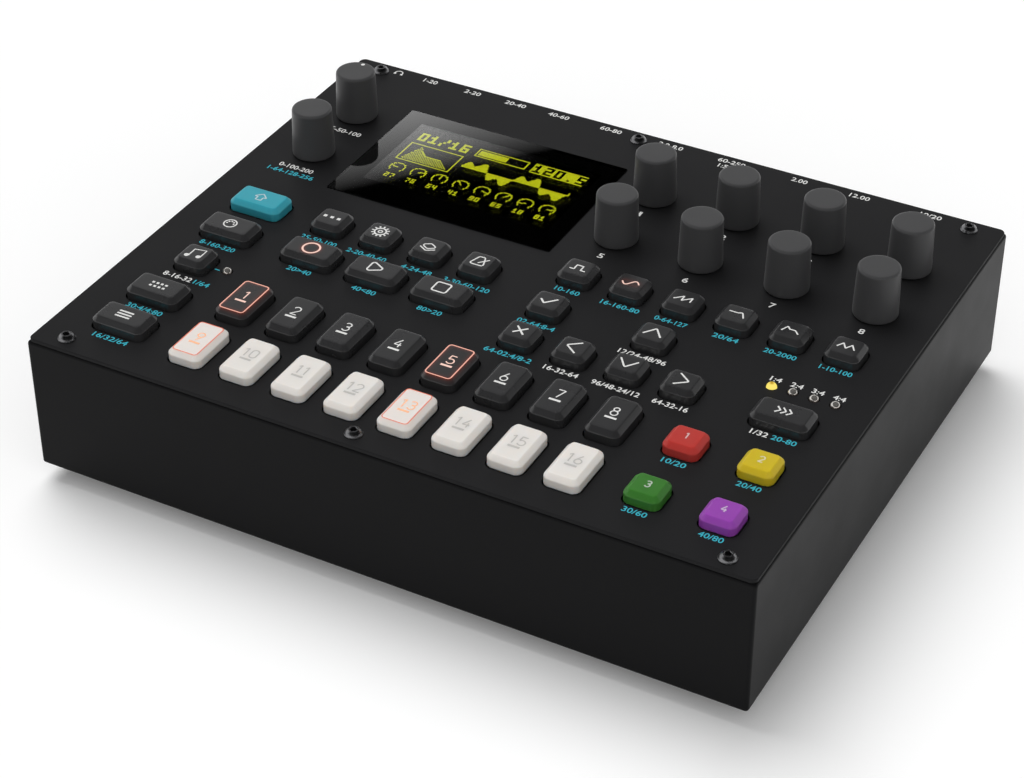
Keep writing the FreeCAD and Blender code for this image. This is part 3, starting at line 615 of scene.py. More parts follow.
def material(name, maker, *values, **named):
    """The material of that name, made when it is first needed."""
    if name not in MATERIALS:
        MATERIALS[name] = maker(name, *values, **named)
    return MATERIALS[name]


def paint_node(node, finish):
    """Gives a kept CAD node its finish through its material slots."""
    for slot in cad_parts[node].material_slots:
        slot.material = finish


# ---------------------------------------------------------------- case

# Side of a button head from its flat top down, in shares of its radius and of its height.
BUTTON_HEAD = ((0.55, 0.0), (0.84, -0.42), (0.97, -0.8), (1.0, -0.82), (1.0, -1.0))
# Depths of the hexagon socket and of the chamfer round its mouth, and the mouth's size as a
# share of the socket's.
SOCKET_DEPTH, CHAMFER_DEPTH, MOUTH = 0.9 * MM, 0.12 * MM, 1.12


class SYNTH_OT_case(bpy.types.Operator):
    """Case, panel, feet and screws"""
    bl_idname = "synth.case"
    bl_label = "Case"

    def execute(self, context):
        sizes = context.scene.synth_case
        # The case gets a darker copy of the panel's paint, as painted shade on its walls.
        paint_node("case_tray", material("powder_coated_case", powder_coat, sizes.case, 0.4))
        paint_node("top_panel", material("powder_coated_panel", powder_coat, sizes.panel, 0.5))
        # Moulded rubber: black and nearly without a sheen.
        paint_node("rubber_feet", material("moulded_rubber", surface, sizes.rubber, 0.75, 0.5,
                                           0.01, 0.08))
        # Black-oxide steel: a dark metal with a thin oiled skin, so it still mirrors the room.
        steel = material("black_oxide_steel", surface, linear("7c7c7e"), 0.3, 0.25, 0.002, 0.06,
                         Metallic=1.0)
        boxes = solids("button_head_screws")
        radius, height, flats = sizes.screw_head, sizes.screw_head_height, sizes.screw_socket / 2
        end = boxes[0][0].z - boxes[0][1].z
        side = softened(
            [(radius * out, height * down) for out, down in BUTTON_HEAD]
            + [(sizes.screw_shank, -height), (sizes.screw_shank, end)], 0.3 * MM, 4)
        rings = [round_ring(0, 0, z, flats * share, 48, True) for share, z in (
            (1.0, -SOCKET_DEPTH), (1.0, -CHAMFER_DEPTH), (MOUTH, 0.0))]
        rings += [round_ring(0, 0, z, out, 48) for out, z in side]
        places = [top_middle(box) for box in boxes]
        mesh = repeated(tidied(lofted("screw", rings)), places, steel)
        finish_piece(mesh, "button_heads", CHASSIS, steel,
                     ["button_head_screws"], 40)
        return {"FINISHED"}


# ---------------------------------------------------------------- knobs

# The dot on the volume knob: how far it stands from the axis, and its radii at top and foot.
DOT_PLACE, DOT_TOP, DOT_FOOT = 4.4 * MM, 0.55 * MM, 0.6 * MM


class SYNTH_OT_knobs(bpy.types.Operator):
    """Ten knobs on their spindles"""
    bl_idname = "synth.knobs"
    bl_label = "Knobs"

    def execute(self, context):
        sizes = context.scene.synth_knobs
        # Soft-touch paint over ABS: a dull black whose edges lighten where it is seen aslant.
        paint = material("soft_touch_knob", surface, sizes.colour, 0.42, 0.3, 0.005, 0.06,
                         IOR=1.5, Specular_IOR_Level=0.3, Sheen_Weight=0.1, Sheen_Roughness=0.4)
        chamfer = 0.25 * MM
        for node in sorted(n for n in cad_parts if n.endswith("_knob") or "_knob_" in n):
            x, y, height = top_middle(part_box(node))
            # The ink of the dot takes up the last of the CAD's height.
            top, base = height - INK_THICKNESS, height - sizes.height
            roof = base + sizes.recess_depth
            outside = softened([
                (sizes.top_radius - 2.4 * MM, top), (sizes.top_radius, top),
                (sizes.base_radius, base + chamfer), (sizes.base_radius - chamfer, base)],
                sizes.edge, 6)
            under = [(sizes.recess_radius, base), (sizes.recess_radius, roof),
                     (sizes.spindle_radius, roof),
                     (sizes.spindle_radius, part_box(node)[0].z)]
            mesh = revolved(node, x, y, outside + under, 96)
            finish_piece(mesh, node.replace("_knob", "_knob_cap"), node, paint,
                         [node])
        white = material("white_print", screen_print, context.scene.synth_legends.white)
        x, y, top = top_middle(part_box("volume_knob"))
        dot = revolved("dot", x, y + DOT_PLACE, [
            (DOT_TOP, top), (DOT_FOOT, top - INK_THICKNESS),
            (DOT_FOOT, top - 2 * INK_THICKNESS)], 24)
        finish_piece(dot, "volume_knob_dot", "volume_knob", white)
        return {"FINISHED"}


# ---------------------------------------------------------------- keys

# How far light goes in a pale cap before it turns, which is less than its walls are thick.
GLOW_DEPTH = 1.2 * MM
# Lit outlines round the middle of a cap: half width and half depth, and corner, in metres.
OUTLINE = (3.8 * MM, 7.0 * MM), 0.95 * MM
# The same, with the strength along the line, its reach in metres, and the strength inside.
LEAKS = {
    "step_key_1": (*OUTLINE, 0.17, 0.36 * MM, 0.003),
    "step_key_5": (*OUTLINE, 0.17, 0.36 * MM, 0.003),
    "step_key_9": (*OUTLINE, 0.06, 0.4 * MM, 0.02),
    "step_key_13": (*OUTLINE, 0.06, 0.4 * MM, 0.02),
    "record_key": ((2.5 * MM, 2.5 * MM), 2.5 * MM, 0.3, 0.3 * MM, 0.0),
    "parameter_keys": ((2.6 * MM, 1.1 * MM), 0.9 * MM, 0.03, 0.5 * MM, 0.012),
}
LIT_PARAMETER_KEY = 1
# The cap meets its carrier this far below the panel's face. Below it the black carrier is painted
# shade in the gap round the cap.
SEAM_DEPTH = 0.1 * MM
# Depths below a key's top of its flange's two faces and of its stem's foot.
FLANGE_TOP, FLANGE_FOOT, STEM_FOOT = 5.5 * MM, 6.1 * MM, 8.9 * MM
# Thickness of the carrier's roof, widths of its stem and of the plunger, and small corners.
CARRIER_ROOF, STEM, PLUNGER, SMALL_CORNER = 0.8 * MM, 4.2 * MM, 2.6 * MM, 0.3 * MM


def key_colour(node):
    """Name of the colour of a key."""
    if node.startswith("step_key_"):
        return "black" if int(node.split("_")[-1]) <= 8 else "white"
    if node.startswith("track_key_"):
        return ("red", "yellow", "green", "purple")[int(node[-1]) - 1]
    return "teal" if node == "function_key" else "black"


def key_finish(node, caps, scene):
    """Finish and slot of a key by its name."""
    name = key_colour(node)
    colour = getattr(scene.synth_keys, name)
    depth = 0.0 if name == "black" else GLOW_DEPTH
    if node in LEAKS:
        box = caps[LIT_PARAMETER_KEY if node == "parameter_keys" else 0]
        finish = material("lit_abs_" + node, lit_plastic, colour, depth,
                          Vector(top_middle(box)), scene.synth_legends.ember, *LEAKS[node])
    else:
        finish = material("moulded_abs_" + name, abs_plastic, colour, depth)
    return finish, "key_" + name


def key_nodes():
    """Names of the nodes that hold keys."""
    return sorted(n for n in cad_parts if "_key_" in n or n.endswith(("_key", "_keys")))


def key_caps(node):
    """(lowest, highest) corners of each cap of a key node, from left to right, and from front
    to rear where two stand in line."""
    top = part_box(node)[1].z
    caps = [box for box in solids(node) if abs(box[1].z - top) < 0.1 * MM]
    return sorted(caps, key=lambda box: (round(box[0].x, 4), box[0].y))


def cap_rings(sizes, width, depth, profile):
    """Rounded rings of a key along a profile of (distance out, height) points."""
    return [rounded_ring(0, 0, z, width + 2 * out, depth + 2 * out,
                         max(sizes.corner + out, SMALL_CORNER)) for out, z in profile]


def inner_rings(sizes, width, depth, heights):
    """Rings inside the walls of a key."""
    return [rounded_ring(0, 0, z, width - 2 * sizes.wall, depth - 2 * sizes.wall, 1.0 * MM)
            for z in heights]


def cap_mesh(sizes, width, depth, seam, top):
    """Key cap round the origin down to its seam, hollow below."""
    profile = softened([
        (-sizes.bevel - 1.0 * MM, top), (-sizes.bevel, top), (0.0, top - sizes.bevel),
        (0.0, seam)], sizes.softness)
    rings = cap_rings(sizes, width, depth, profile)
    rings += inner_rings(sizes, width, depth, (seam, top - sizes.roof))
    return tidied(lofted("cap", rings))


def carrier_mesh(sizes, width, depth, seam, top, low):
    """Carrier under a cap, with its flange, stem and plunger."""
    rings = cap_rings(sizes, width, depth, [
        (0.0, seam), (0.0, top - FLANGE_TOP), (sizes.flange, top - FLANGE_TOP),
        (sizes.flange, top - FLANGE_FOOT)])
    under = seam - CARRIER_ROOF
    rings += inner_rings(sizes, width, depth, (top - FLANGE_FOOT, under))
    for side, z in ((STEM, under), (STEM, top - STEM_FOOT), (PLUNGER, top - STEM_FOOT),
                    (PLUNGER, low)):
        rings.append(rounded_ring(0, 0, z, side, side, SMALL_CORNER))
    return tidied(lofted("carrier", rings))


class SYNTH_OT_keys(bpy.types.Operator):
    """Forty-five key caps on their carriers"""
    bl_idname = "synth.keys"
    bl_label = "Keys"

    def execute(self, context):
        sizes = context.scene.synth_keys
        # The carriers are black under caps of every colour, as painted shade: their black skirt
        # below the panel's face keeps the gaps round the caps dark.
        black = material("moulded_abs_black", abs_plastic, sizes.black)
        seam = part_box("top_panel")[1].z - SEAM_DEPTH
        for node in key_nodes():
            caps = key_caps(node)
            finish, slot = key_finish(node, caps, context.scene)
            low, high = caps[0]
            shape = (sizes, high.x - low.x - 2 * sizes.flange,
                     high.y - low.y - 2 * sizes.flange, seam, high.z)
            places = [(*top_middle(box)[:2], 0.0) for box in caps]
            mesh = repeated(cap_mesh(*shape), places, finish)
            finish_piece(mesh, node.replace("_key", "_cap"), node, finish, [node], 50)
            mesh = repeated(carrier_mesh(*shape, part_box(node)[0].z), places, black)
            finish_piece(mesh, node.replace("_key", "_carrier"), node, black,
                         crease=50)
        return {"FINISHED"}


# ---------------------------------------------------------------- legends on the keys

def stroke(*points):
    """Open path through points."""
    return points, False


def loop(*points):
    """Closed path through points."""
    return points, True


def arc(x, y, radius, start, end, steps=16):
    """Points along an arc, with its angles in degrees."""
    return [polar(radius, start + (end - start) * i / steps, x, y) for i in range(steps + 1)]


def ring(x, y, radius, steps=23):
    """Closed round path."""
    return loop(*arc(x, y, radius, 0, 345, steps))


def square(x, y, half):
    """Closed square path."""
    return loop((x - half, y - half), (x + half, y - half), (x + half, y + half),
                (x - half, y + half))


# Points of one sine wave, 5 mm long and 2.4 mm high.
WAVE = [(x, 1.2 * math.sin(x * math.pi / 2.5)) for x in (5.0 * i / 24 - 2.5 for i in range(25))]

# The symbols of each key node, one for each of its caps. A symbol is a list of (paths, stroke
# width, corner radius) in millimetres.
SYMBOLS = {
    "function_key": [
        [([loop((0, 1.7), (-2.0, -0.1), (-0.9, -0.1), (-0.9, -1.6), (0.9, -1.6), (0.9, -0.1),
                (2.0, -0.1))], 0.42, 0.15)]],
    "midi_key": [
        [([ring(0, 0, 1.9)], 0.4, 0.0),
         ([ring(*polar(1.1, 45 * i), 0.14) for i in range(5)], 0.3, 0.0)]],
    "pattern_key": [
        [([square(x, y, 0.22) for x in (-2.1, -0.7, 0.7, 2.1) for y in (-0.8, 0.8)], 0.5, 0.0)]],
    "bank_key": [[([stroke((-2.3, y), (2.3, y)) for y in (-1.2, 0.0, 1.2)], 0.6, 0.0)]],
    "page_key": [
        [([stroke((x - 0.6, 1.3), (x + 0.6, 0), (x - 0.6, -1.3)) for x in (-1.6, 0.0, 1.6)],
          0.45, 0.2)]],
    "record_key": [[([ring(0, 0, 2.5)], 0.55, 0.0)]],
    "play_key": [[([loop((-1.9, 2.6), (2.8, 0.0), (-1.9, -2.6))], 0.5, 0.7)]],
    "stop_key": [[([square(0, 0, 2.2)], 0.5, 0.7)]],
    "note_key": [
        [([stroke((-1.3, -1.8), (-1.3, 1.7), (2.2, 2.3), (2.2, -1.3))], 0.45, 0.0),
         ([ring(-1.9, -1.8, 0.35), ring(1.6, -1.3, 0.35)], 0.75, 0.0)]],
    "yes_key": [[([stroke((-2.2, 0.1), (-0.6, -1.5), (2.3, 1.6))], 0.55, 0.15)]],
    "no_key": [
        [([stroke((-1.6, -1.6), (1.6, 1.6)), stroke((-1.6, 1.6), (1.6, -1.6))], 0.55, 0.0)]],
    "arrow_keys": [
        [([stroke((1.6, 2.6), (-1.9, 0.0), (1.6, -2.6))], 0.5, 0.3)],
        [([stroke((-2.6, 1.6), (0.0, -1.9), (2.6, 1.6))], 0.5, 0.3)],
        [([stroke((-2.6, -1.6), (0.0, 1.9), (2.6, -1.6))], 0.5, 0.3)],
        [([stroke((-1.6, 2.6), (1.9, 0.0), (-1.6, -2.6))], 0.5, 0.3)]],
    "menu_keys": [
        [([square(x, 0, 0.3) for x in (-2.2, 0.0, 2.2)], 0.65, 0.0)],
        [([ring(0, 0, 1.7)], 0.5, 0.0), ([ring(0, 0, 0.6)], 0.4, 0.0),
         ([stroke(polar(2.0, 30 * i), polar(2.7, 30 * i)) for i in range(12)], 0.5, 0.0)],
        [([loop((-2.4, 0.0), (0.0, 1.4), (2.4, 0.0), (0.0, -1.4))], 0.4, 0.6),
         ([stroke((-2.4, -1.0), (0.0, -2.4), (2.4, -1.0))], 0.4, 0.6)],
        [([loop((-0.9, 2.1), (0.9, 2.1), (2.2, -2.0), (-2.2, -2.0))], 0.42, 0.6),
         ([stroke((0.0, -1.0), (2.5, 1.6))], 0.42, 0.0)]],
    "parameter_keys": [
        [([stroke((-2.4, -1.1), (-1.0, -1.1), (-1.0, 1.1), (1.0, 1.1), (1.0, -1.1),
                  (2.4, -1.1))], 0.42, 0.1)],
        [([stroke(*WAVE)], 0.42, 0.0)],
        [([stroke((-2.5, -1.1), (-0.1, 1.1), (-0.1, -1.1), (2.4, 1.1), (2.4, -1.1))],
          0.42, 0.05)],
        [([stroke((-2.5, 0.7), (0.2, 0.7), (1.2, 1.3), (2.4, -1.2))], 0.42, 0.5)],
        [([stroke((-2.5, -1.2), (-1.4, 1.2), (-0.5, 0.2), (1.1, 0.2), (2.4, -1.2))],
          0.42, 0.1)],
        [([stroke((-2.5, -1.0), (-1.25, 1.1), (0.0, -1.0), (1.25, 1.1), (2.5, -1.0))],
          0.42, 0.1)]],
}

# Paths of the figures in a box 0.6 wide and 1 high round the origin, and the room that one
# takes in a number, as shares of its height.
FIGURES = {
    "0": [loop(*arc(0, 0.22, 0.28, 0, 180), *arc(0, -0.22, 0.28, 180, 360))],
    "1": [stroke((-0.16, 0.3), (0.06, 0.5), (0.06, -0.5))],
    "2": [stroke(*arc(0, 0.22, 0.28, 165, -35), (-0.28, -0.5), (0.28, -0.5))],
    "3": [stroke(*arc(0, 0.24, 0.26, 150, -90), *arc(0, -0.22, 0.28, 90, -150))],
    "4": [stroke((0.12, 0.5), (-0.28, -0.2), (0.3, -0.2)), stroke((0.14, 0.05), (0.14, -0.5))],
    "5": [stroke((0.24, 0.5), (-0.2, 0.5), (-0.24, 0.06), *arc(0, -0.2, 0.3, 130, -150))],
    "6": [ring(0, -0.22, 0.28, 16), stroke((0.12, 0.5), (-0.26, -0.12))],
    "7": [stroke((-0.28, 0.5), (0.28, 0.5), (-0.08, -0.5))],
    "8": [ring(0, 0.27, 0.22, 16), ring(0, -0.22, 0.28, 16)],
    "9": [ring(0, 0.22, 0.28, 16), stroke((0.26, 0.12), (-0.12, -0.5))],
}
NARROW_FIGURE, WIDE_FIGURE = 0.6, 0.86


def figure_paths(text, height, y):
    """Paths of a number drawn with thin strokes, centred on 0, y."""
    steps = [NARROW_FIGURE if figure == "1" else WIDE_FIGURE for figure in text]
    left = -sum(steps) * height / 2
    paths = []
    for figure, step in zip(text, steps):
        left += step * height / 2
        for points, closes in FIGURES[figure]:
            paths.append(([(left + px * height, y + py * height) for px, py in points], closes))
        left += step * height / 2
    return paths


def symbol_mesh(symbol, box, ink):
    """Mesh of one symbol on top of a cap."""
    mesh = joined("symbol", [strokes(*part, ink) for part in symbol])
    return moved(mesh, *top_middle(box))


def step_legend(number, height, box, ink):
    """Number and bar on a step key."""
    return symbol_mesh([(figure_paths(str(number), height, 0.9), 0.38, 0.1),
                        ([stroke((-1.7, -2.0), (1.7, -2.0))], 0.75, 0.0)], box, ink)


def outline_legend(width, box, ink):
    """Rounded outline round the flat top of a lit step key."""
    (half_x, half_y), corner = OUTLINE
    points = [(x / MM, y / MM) for x, y, z in rounded_ring(
        0, 0, 0, 2 * half_x, 2 * half_y, corner)]
    return symbol_mesh([([loop(*points)], width, 0.0)], box, ink)


def paler(colour):
    """The colour mixed with white."""
    return tuple(value + (0.85 - value) * 0.55 for value in colour)


class SYNTH_OT_key_legends(bpy.types.Operator):
    """Symbols and numbers on the keys"""
    bl_idname = "synth.key_legends"
    bl_label = "Key legends"

    def execute(self, context):
        inks = context.scene.synth_legends
        white = material("white_print", screen_print, inks.white)
        faint = material("grey_print", screen_print, inks.faint)
        lit = material("lit_legend", glow, inks.lit)
        rim_on_black = material("lit_outline_on_black", glow, inks.line)
        rim_on_white = material("lit_outline_on_white", glow, inks.pink)
        peach = material("lit_number_on_white", glow, inks.peach)
        # Ink of the number, and ink and width of the outline, of a step key that is lit or not
        # and pale or not.
        steps = {
            (False, False): (white, None, 0.0), (False, True): (faint, None, 0.0),
            (True, False): (lit, rim_on_black, 0.34), (True, True): (peach, rim_on_white, 0.26)}
        for node in key_nodes():
            caps = key_caps(node)
            if node.startswith("step_key_"):
                number = int(node.split("_")[-1])
                ink, rim, width = steps[number % 4 == 1, number > 8]
                mesh = step_legend(number, inks.number_height / MM, caps[0], ink)
                finish_piece(mesh, node.replace("_key", "_number"), node, ink)
                if rim:
                    mesh = outline_legend(width, caps[0], rim)
                    finish_piece(mesh, node.replace("_key", "_outline"), node, rim)
                continue
            ink = lit if node == "record_key" else white
            colour = key_colour(node)
            if colour != "black":
                ink = material("pale_print_on_" + colour, screen_print,
                               paler(getattr(context.scene.synth_keys, colour)))
            if node.startswith("track_key_"):
                symbols = [[(figure_paths(node[-1], 2.4, 0.3), 0.4, 0.1)]]
            else:
                symbols = SYMBOLS[node]
            name = node.replace("_key", "_symbol")
            parts, lit_parts = [], []
            for i, (symbol, box) in enumerate(zip(symbols, caps)):
                if node == "parameter_keys" and i == LIT_PARAMETER_KEY:
                    lit_parts.append(symbol_mesh(symbol, box, lit))
                else:
                    parts.append(symbol_mesh(symbol, box, ink))
            finish_piece(joined(name, parts), name, node, ink)
            if lit_parts:
                finish_piece(joined(name, lit_parts), name + "_lit", node, lit)
        return {"FINISHED"}


# ---------------------------------------------------------------- print on the panel

# Figures on the panel: text, width, x, y in millimetres from the middle of the panel.
CAPTIONS = {
    "white": [
        ("0-25-50-100", 14.5, -90.1, 46.0), ("0-100-200", 11.5, -90.1, 21.0),
        ("1", 0.9, 11.0, 46.2), ("2", 1.7, 37.3, 46.2), ("3", 1.7, 63.6, 46.2),
        ("4", 1.7, 89.9, 46.2), ("5", 1.7, 10.9, 21.2), ("6", 1.7, 37.2, 21.2),
        ("7", 1.7, 63.5, 21.2), ("8", 1.7, 89.8, 21.2), ("8-16-32", 9.2, -88.3, -44.0),
        ("12/24-48/96", 14.0, 42.75, -17.6), ("16-32-64", 10.2, 26.65, -33.7),
        ("96/48-24/12", 14.0, 42.75, -33.7), ("64-32-16", 10.2, 58.65, -33.7),
        ("1/32", 4.9, 83.9, -33.7), ("1:4", 3.2, 78.4, -10.1), ("2:4", 3.4, 84.4, -10.1),
        ("3:4", 3.4, 90.4, -10.1), ("4:4", 3.4, 96.4, -10.1), ("1-20", 4.7, -80.6, 84.9),
        ("2-20", 5.5, -65.6, 84.9), ("20-40", 7.0, -50.5, 84.9), ("40-60", 7.0, -35.5, 84.9),
        ("60-80", 7.0, -17.6, 84.9), ("2.0-8.0", 8.0, 2.4, 84.9), ("1:250", 6.0, 2.4, 81.9),
        ("60-250", 8.6, 22.5, 84.9), ("1:500", 6.0, 22.5, 81.9), ("2.00", 4.9, 44.4, 84.9),
        ("12.00", 6.2, 63.4, 84.9), ("10/20", 6.6, 85.4, 84.9)],
    "teal": [
        ("1-64-128-256", 15.5, -90.1, 17.8), ("25-50-100", 11.6, -63.35, -9.7),
        ("2-20-40-60", 12.6, -47.6, -9.7), ("4-24-48", 9.6, -31.35, -9.7),
        ("3-30-60-120", 14.4, -15.35, -9.7), ("8-160-320", 11.5, -87.2, -25.7),
        ("1/64", 4.9, -80.4, -44.0), ("30:4/4:80", 11.5, -87.2, -61.8),
        ("16/32/64", 11.0, -87.2, -77.8), ("20>40", 7.6, -60.1, -25.5),
        ("40<80", 7.6, -39.1, -25.5), ("80>20", 7.6, -18.1, -25.5), ("10-160", 7.5, 10.65, 1.0),
        ("16-160-80", 11.6, 26.9, 1.0), ("0-64-127", 9.6, 42.3, 1.0), ("20/64", 7.5, 58.65, 1.0),
        ("20-2000", 9.3, 74.65, 1.0), ("1-10-100", 9.3, 90.65, 1.0),
        ("02-64:8-4", 11.4, 10.65, -17.6), ("64-02:4/8-2", 14.2, 10.65, -33.7),
        ("20-80", 6.9, 90.8, -33.7), ("10/20", 6.7, 69.95, -55.3), ("20/40", 6.7, 90.65, -55.3),
        ("30/60", 6.7, 69.95, -77.8), ("40/80", 6.7, 90.65, -77.8)],
}
# A figure that stands alone is this much higher.
SINGLE_FIGURE = 1.15
# Signs among them, as (paths, stroke width) and a place: headphones, and a dash by the lamp of
# the note key.
SIGNS = {
    "white": [([(arc(0, 0, 1.2, -20, 200), False)], 0.35, -92.1, 84.9),
              ([stroke((-1.15, -1.0), (-1.15, -0.3)), stroke((1.15, -1.0), (1.15, -0.3))],
               0.75, -92.1, 84.9)],
    "teal": [([stroke((-81.3, -35.95), (-79.6, -35.95))], 0.35, 0.0, 0.0)],
}


class SYNTH_OT_panel_print(bpy.types.Operator):
    """Figures printed on the panel"""
    bl_idname = "synth.panel_print"
    bl_label = "Panel print"

    def execute(self, context):
        inks = context.scene.synth_legends
        x, middle_y, top = top_middle(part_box("top_panel"))
        for colour, captions in CAPTIONS.items():
            ink = material(colour + "_print", screen_print, getattr(inks, colour))
            parts = []
            for text, width, x, y in captions:
                height = inks.caption_height * (SINGLE_FIGURE if len(text) == 1 else 1.0)
                parts.append(lettering(text, height, width * MM, x * MM, middle_y + y * MM, top))
            for paths, width, x, y in SIGNS[colour]:
                parts.append(moved(strokes(paths, width, 0.0, ink), x * MM, middle_y + y * MM,
                                   top))
            finish_piece(joined("print", parts), "panel_figures_" + colour, CHASSIS,
                         ink)
        return {"FINISHED"}


# ---------------------------------------------------------------- lamps

LAMP_RADIUS, COLLAR_RADIUS, COLLAR_HEIGHT = 1.45 * MM, 1.9 * MM, 1.0 * MM
# Heights over the panel's face between which an unlit lamp turns from painted amber light to
# clear.
AMBER_BELOW, CLEAR_ABOVE = -0.4 * MM, 0.5 * MM
# The lit lamp's place from the left.
LIT_LAMP = 1


def clear_epoxy(name, top, base):
    """Clear epoxy drop over a small chip: the dome mirrors the room brightly, and its foot, where
    it meets the panel, is painted amber for the light that comes out there."""
    finish = surface(name, linear("b9b4ae"), 0.08, spread=0.04, IOR=1.55, Metallic=0.8,
                     Coat_Weight=1.0, Coat_Roughness=0.03)
    tree = finish.node_tree
    place = add_node(tree, "ShaderNodeTexCoord")
    height = add_node(tree, "ShaderNodeSeparateXYZ", {0: place.outputs["Object"]})
    share = add_node(tree, "ShaderNodeMapRange", {
        "Value": height.outputs["Z"], "From Min": base, "From Max": top})
    # Painted amber light at the foot, turning to the clear dome's colour above.
    colour = add_node(tree, "ShaderNodeMix", {
        "Factor": share, 6: solid(linear("6b3d1c")), 7: solid(linear("d6d2cc"))},
        data_type="RGBA")
    tree.links.new(colour.outputs[2], tree.nodes["surface"].inputs["Base Color"])
    return finish


def lit_epoxy(name, x, y):
    """A lit yellow lamp: bright all round, with the darker chip showing in its middle."""
    finish, tree = new_material(name)
    place = add_node(tree, "ShaderNodeTexCoord")
    centred = add_node(tree, "ShaderNodeMapping", {
        "Vector": place.outputs["Object"], "Location": (-x, -y, 0.0), "Scale": (1.0, 1.0, 0.0)})
    away = add_node(tree, "ShaderNodeVectorMath", {0: centred}, operation="LENGTH")
    share = add_node(tree, "ShaderNodeMapRange", {
        "Value": away.outputs["Value"], "From Min": LAMP_RADIUS * 0.12,
        "From Max": LAMP_RADIUS * 0.55})
    colour = add_node(tree, "ShaderNodeMix", {
        "Factor": share, 6: solid(linear("b98a1e")), 7: solid(linear("ffe873"))},
        data_type="RGBA")
    shader = add_node(tree, "ShaderNodeEmission", {"Color": colour.outputs[2]})
    add_node(tree, "ShaderNodeOutputMaterial", {"Surface": shader})
    return finish


class SYNTH_OT_lamps(bpy.types.Operator):
    """Five status lamps"""
    bl_idname = "synth.lamps"
    bl_label = "Lamps"

    def execute(self, context):
        boxes = sorted(solids("status_lamps"), key=lambda box: box[0].x)
        places = [top_middle(box) for box in boxes]
        height = boxes[0][1].z - boxes[0][0].z
        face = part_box("top_panel")[1].z
        clear = material("clear_epoxy", clear_epoxy, face + CLEAR_ABOVE, face + AMBER_BELOW)
        lit = material("lit_epoxy", lit_epoxy, *places[LIT_LAMP][:2])
        profile = []
        for i in range(1, 9):
            out, up = polar(LAMP_RADIUS, 90 * (1 - i / 8))
            profile.append((out, up - LAMP_RADIUS))
        profile += [(LAMP_RADIUS, COLLAR_HEIGHT - height),
                    (COLLAR_RADIUS, COLLAR_HEIGHT - height), (COLLAR_RADIUS, -height)]
        pattern = tidied(revolved("lamp", 0, 0, profile, 32))
        dark = places[:LIT_LAMP] + places[LIT_LAMP + 1:]
        finish_piece(repeated(pattern.copy(), dark, clear), "lamps_off", CHASSIS,
                     clear, ["status_lamps"])
        finish_piece(repeated(pattern, [places[LIT_LAMP]], lit), "lamp_on", CHASSIS,
                     lit)
        return {"FINISHED"}


# ---------------------------------------------------------------- display

# Figures of the display, three dots wide and five high, from the top row down.
DOT_FIGURES = {
    "0": "111101101101111", "1": "010110010010111", "2": "111001111100111",
    "3": "111001111001111", "4": "101101111001001", "5": "111100111001111",
    "6": "111100111101111", "7": "111001001010010", "8": "111101111101111",
    "9": "111101111001111", ".": "000000000000010", "/": "001001010100100",
}
# The eight dials of the display, as shares of their travel, which starts at the lower left.
DIALS = (0.2, 0.75, 0.5, 0.35, 0.9, 0.62, 0.1, 0.8)
DIAL_START, DIAL_TRAVEL = 225, 270
# Columns of the envelope's peak, and of the start and the end of its level part.
ENVELOPE_PEAK, ENVELOPE_HOLD, ENVELOPE_END = 7, 15, 26
# The window's rim under the panel, and its clear area: left, right, front and rear.
WINDOW_RIM = 2.5 * MM
CLEAR_AREA = -70.5 * MM, -8.8 * MM, 25.4 * MM, 60.6 * MM
BORDER_THICKNESS = 0.05 * MM
# Side of a lit dot as a share of the pitch, and its height.
DOT_SHARE, DOT_HEIGHT = 0.86, 0.02 * MM


def dot_block(column, row, width, height):
    """Filled block of dots."""
    return {(column + i, row + k) for i in range(width) for k in range(height)}


def dot_text(text, column, row, size=1):
    """Dots of a line of figures, with its top left corner at column, row."""
    dots = set()
    for i, figure in enumerate(text):
        for k, state in enumerate(DOT_FIGURES[figure]):
            if state == "1":
                dots |= dot_block(column + (i * 4 + k % 3) * size, row + (k // 3) * size,
                                  size, size)
    return dots


def dot_frame(column, row, width, height):
    """Outline of a block of dots."""
    inside = dot_block(column + 1, row + 1, width - 2, height - 2)
    return dot_block(column, row, width, height) - inside


def dot_dial(column, row, share):
    """Small dial with its hand turned by a share of its travel."""
    points = [polar(5, DIAL_TRAVEL * i / 39 - DIAL_START, column, row) for i in range(40)]
    points += [polar(4.4 * i / 9, DIAL_TRAVEL * share - DIAL_START, column, row)
               for i in range(10)]
    return {(round(x), round(y)) for x, y in points}


def envelope_height(column):
    """Height in dots of the envelope at a column: it rises, falls, holds and falls away."""
    if column < ENVELOPE_PEAK:
        return column * 2.6
    if column < ENVELOPE_HOLD:
        return 18.2 - (column - ENVELOPE_PEAK) * 1.1
    return min(9.4, max(0.0, 9.4 - (column - ENVELOPE_END) * 1.0))


def display_dots():
    """The lit dots of the display: counter, tempo, wave, envelope and eight dials."""
    dots = dot_text("01/16", 2, 2, 2)
    dots |= dot_frame(46, 2, 38, 10)
    dots |= dot_block(48, 4, 21, 6)
    dots |= dot_block(88, 1, 39, 12) - dot_text("120.5", 89, 2, 2)
    dots |= dot_frame(1, 16, 40, 23)
    for i in range(36):
        height = int(envelope_height(i))
        dots |= {(3 + i, 36 - k) for k in range(height) if k >= height - 1 or (i + k) % 2 == 0}
    for i in range(80):
        value = (math.sin(i * 0.16) + 0.5 * math.sin(i * 0.48 + 0.6)) * 8.2
        step = 1 if value >= 0 else -1
        dots |= {(45 + i, 27 - step * k) for k in range(int(abs(value)) + 1)}
    for i, share in enumerate(DIALS):
        dots |= dot_dial(8 + 16 * i, 48, share)
        dots |= dot_text(str(int(10 + share * 89)), 5 + 16 * i, 57)
    return dots


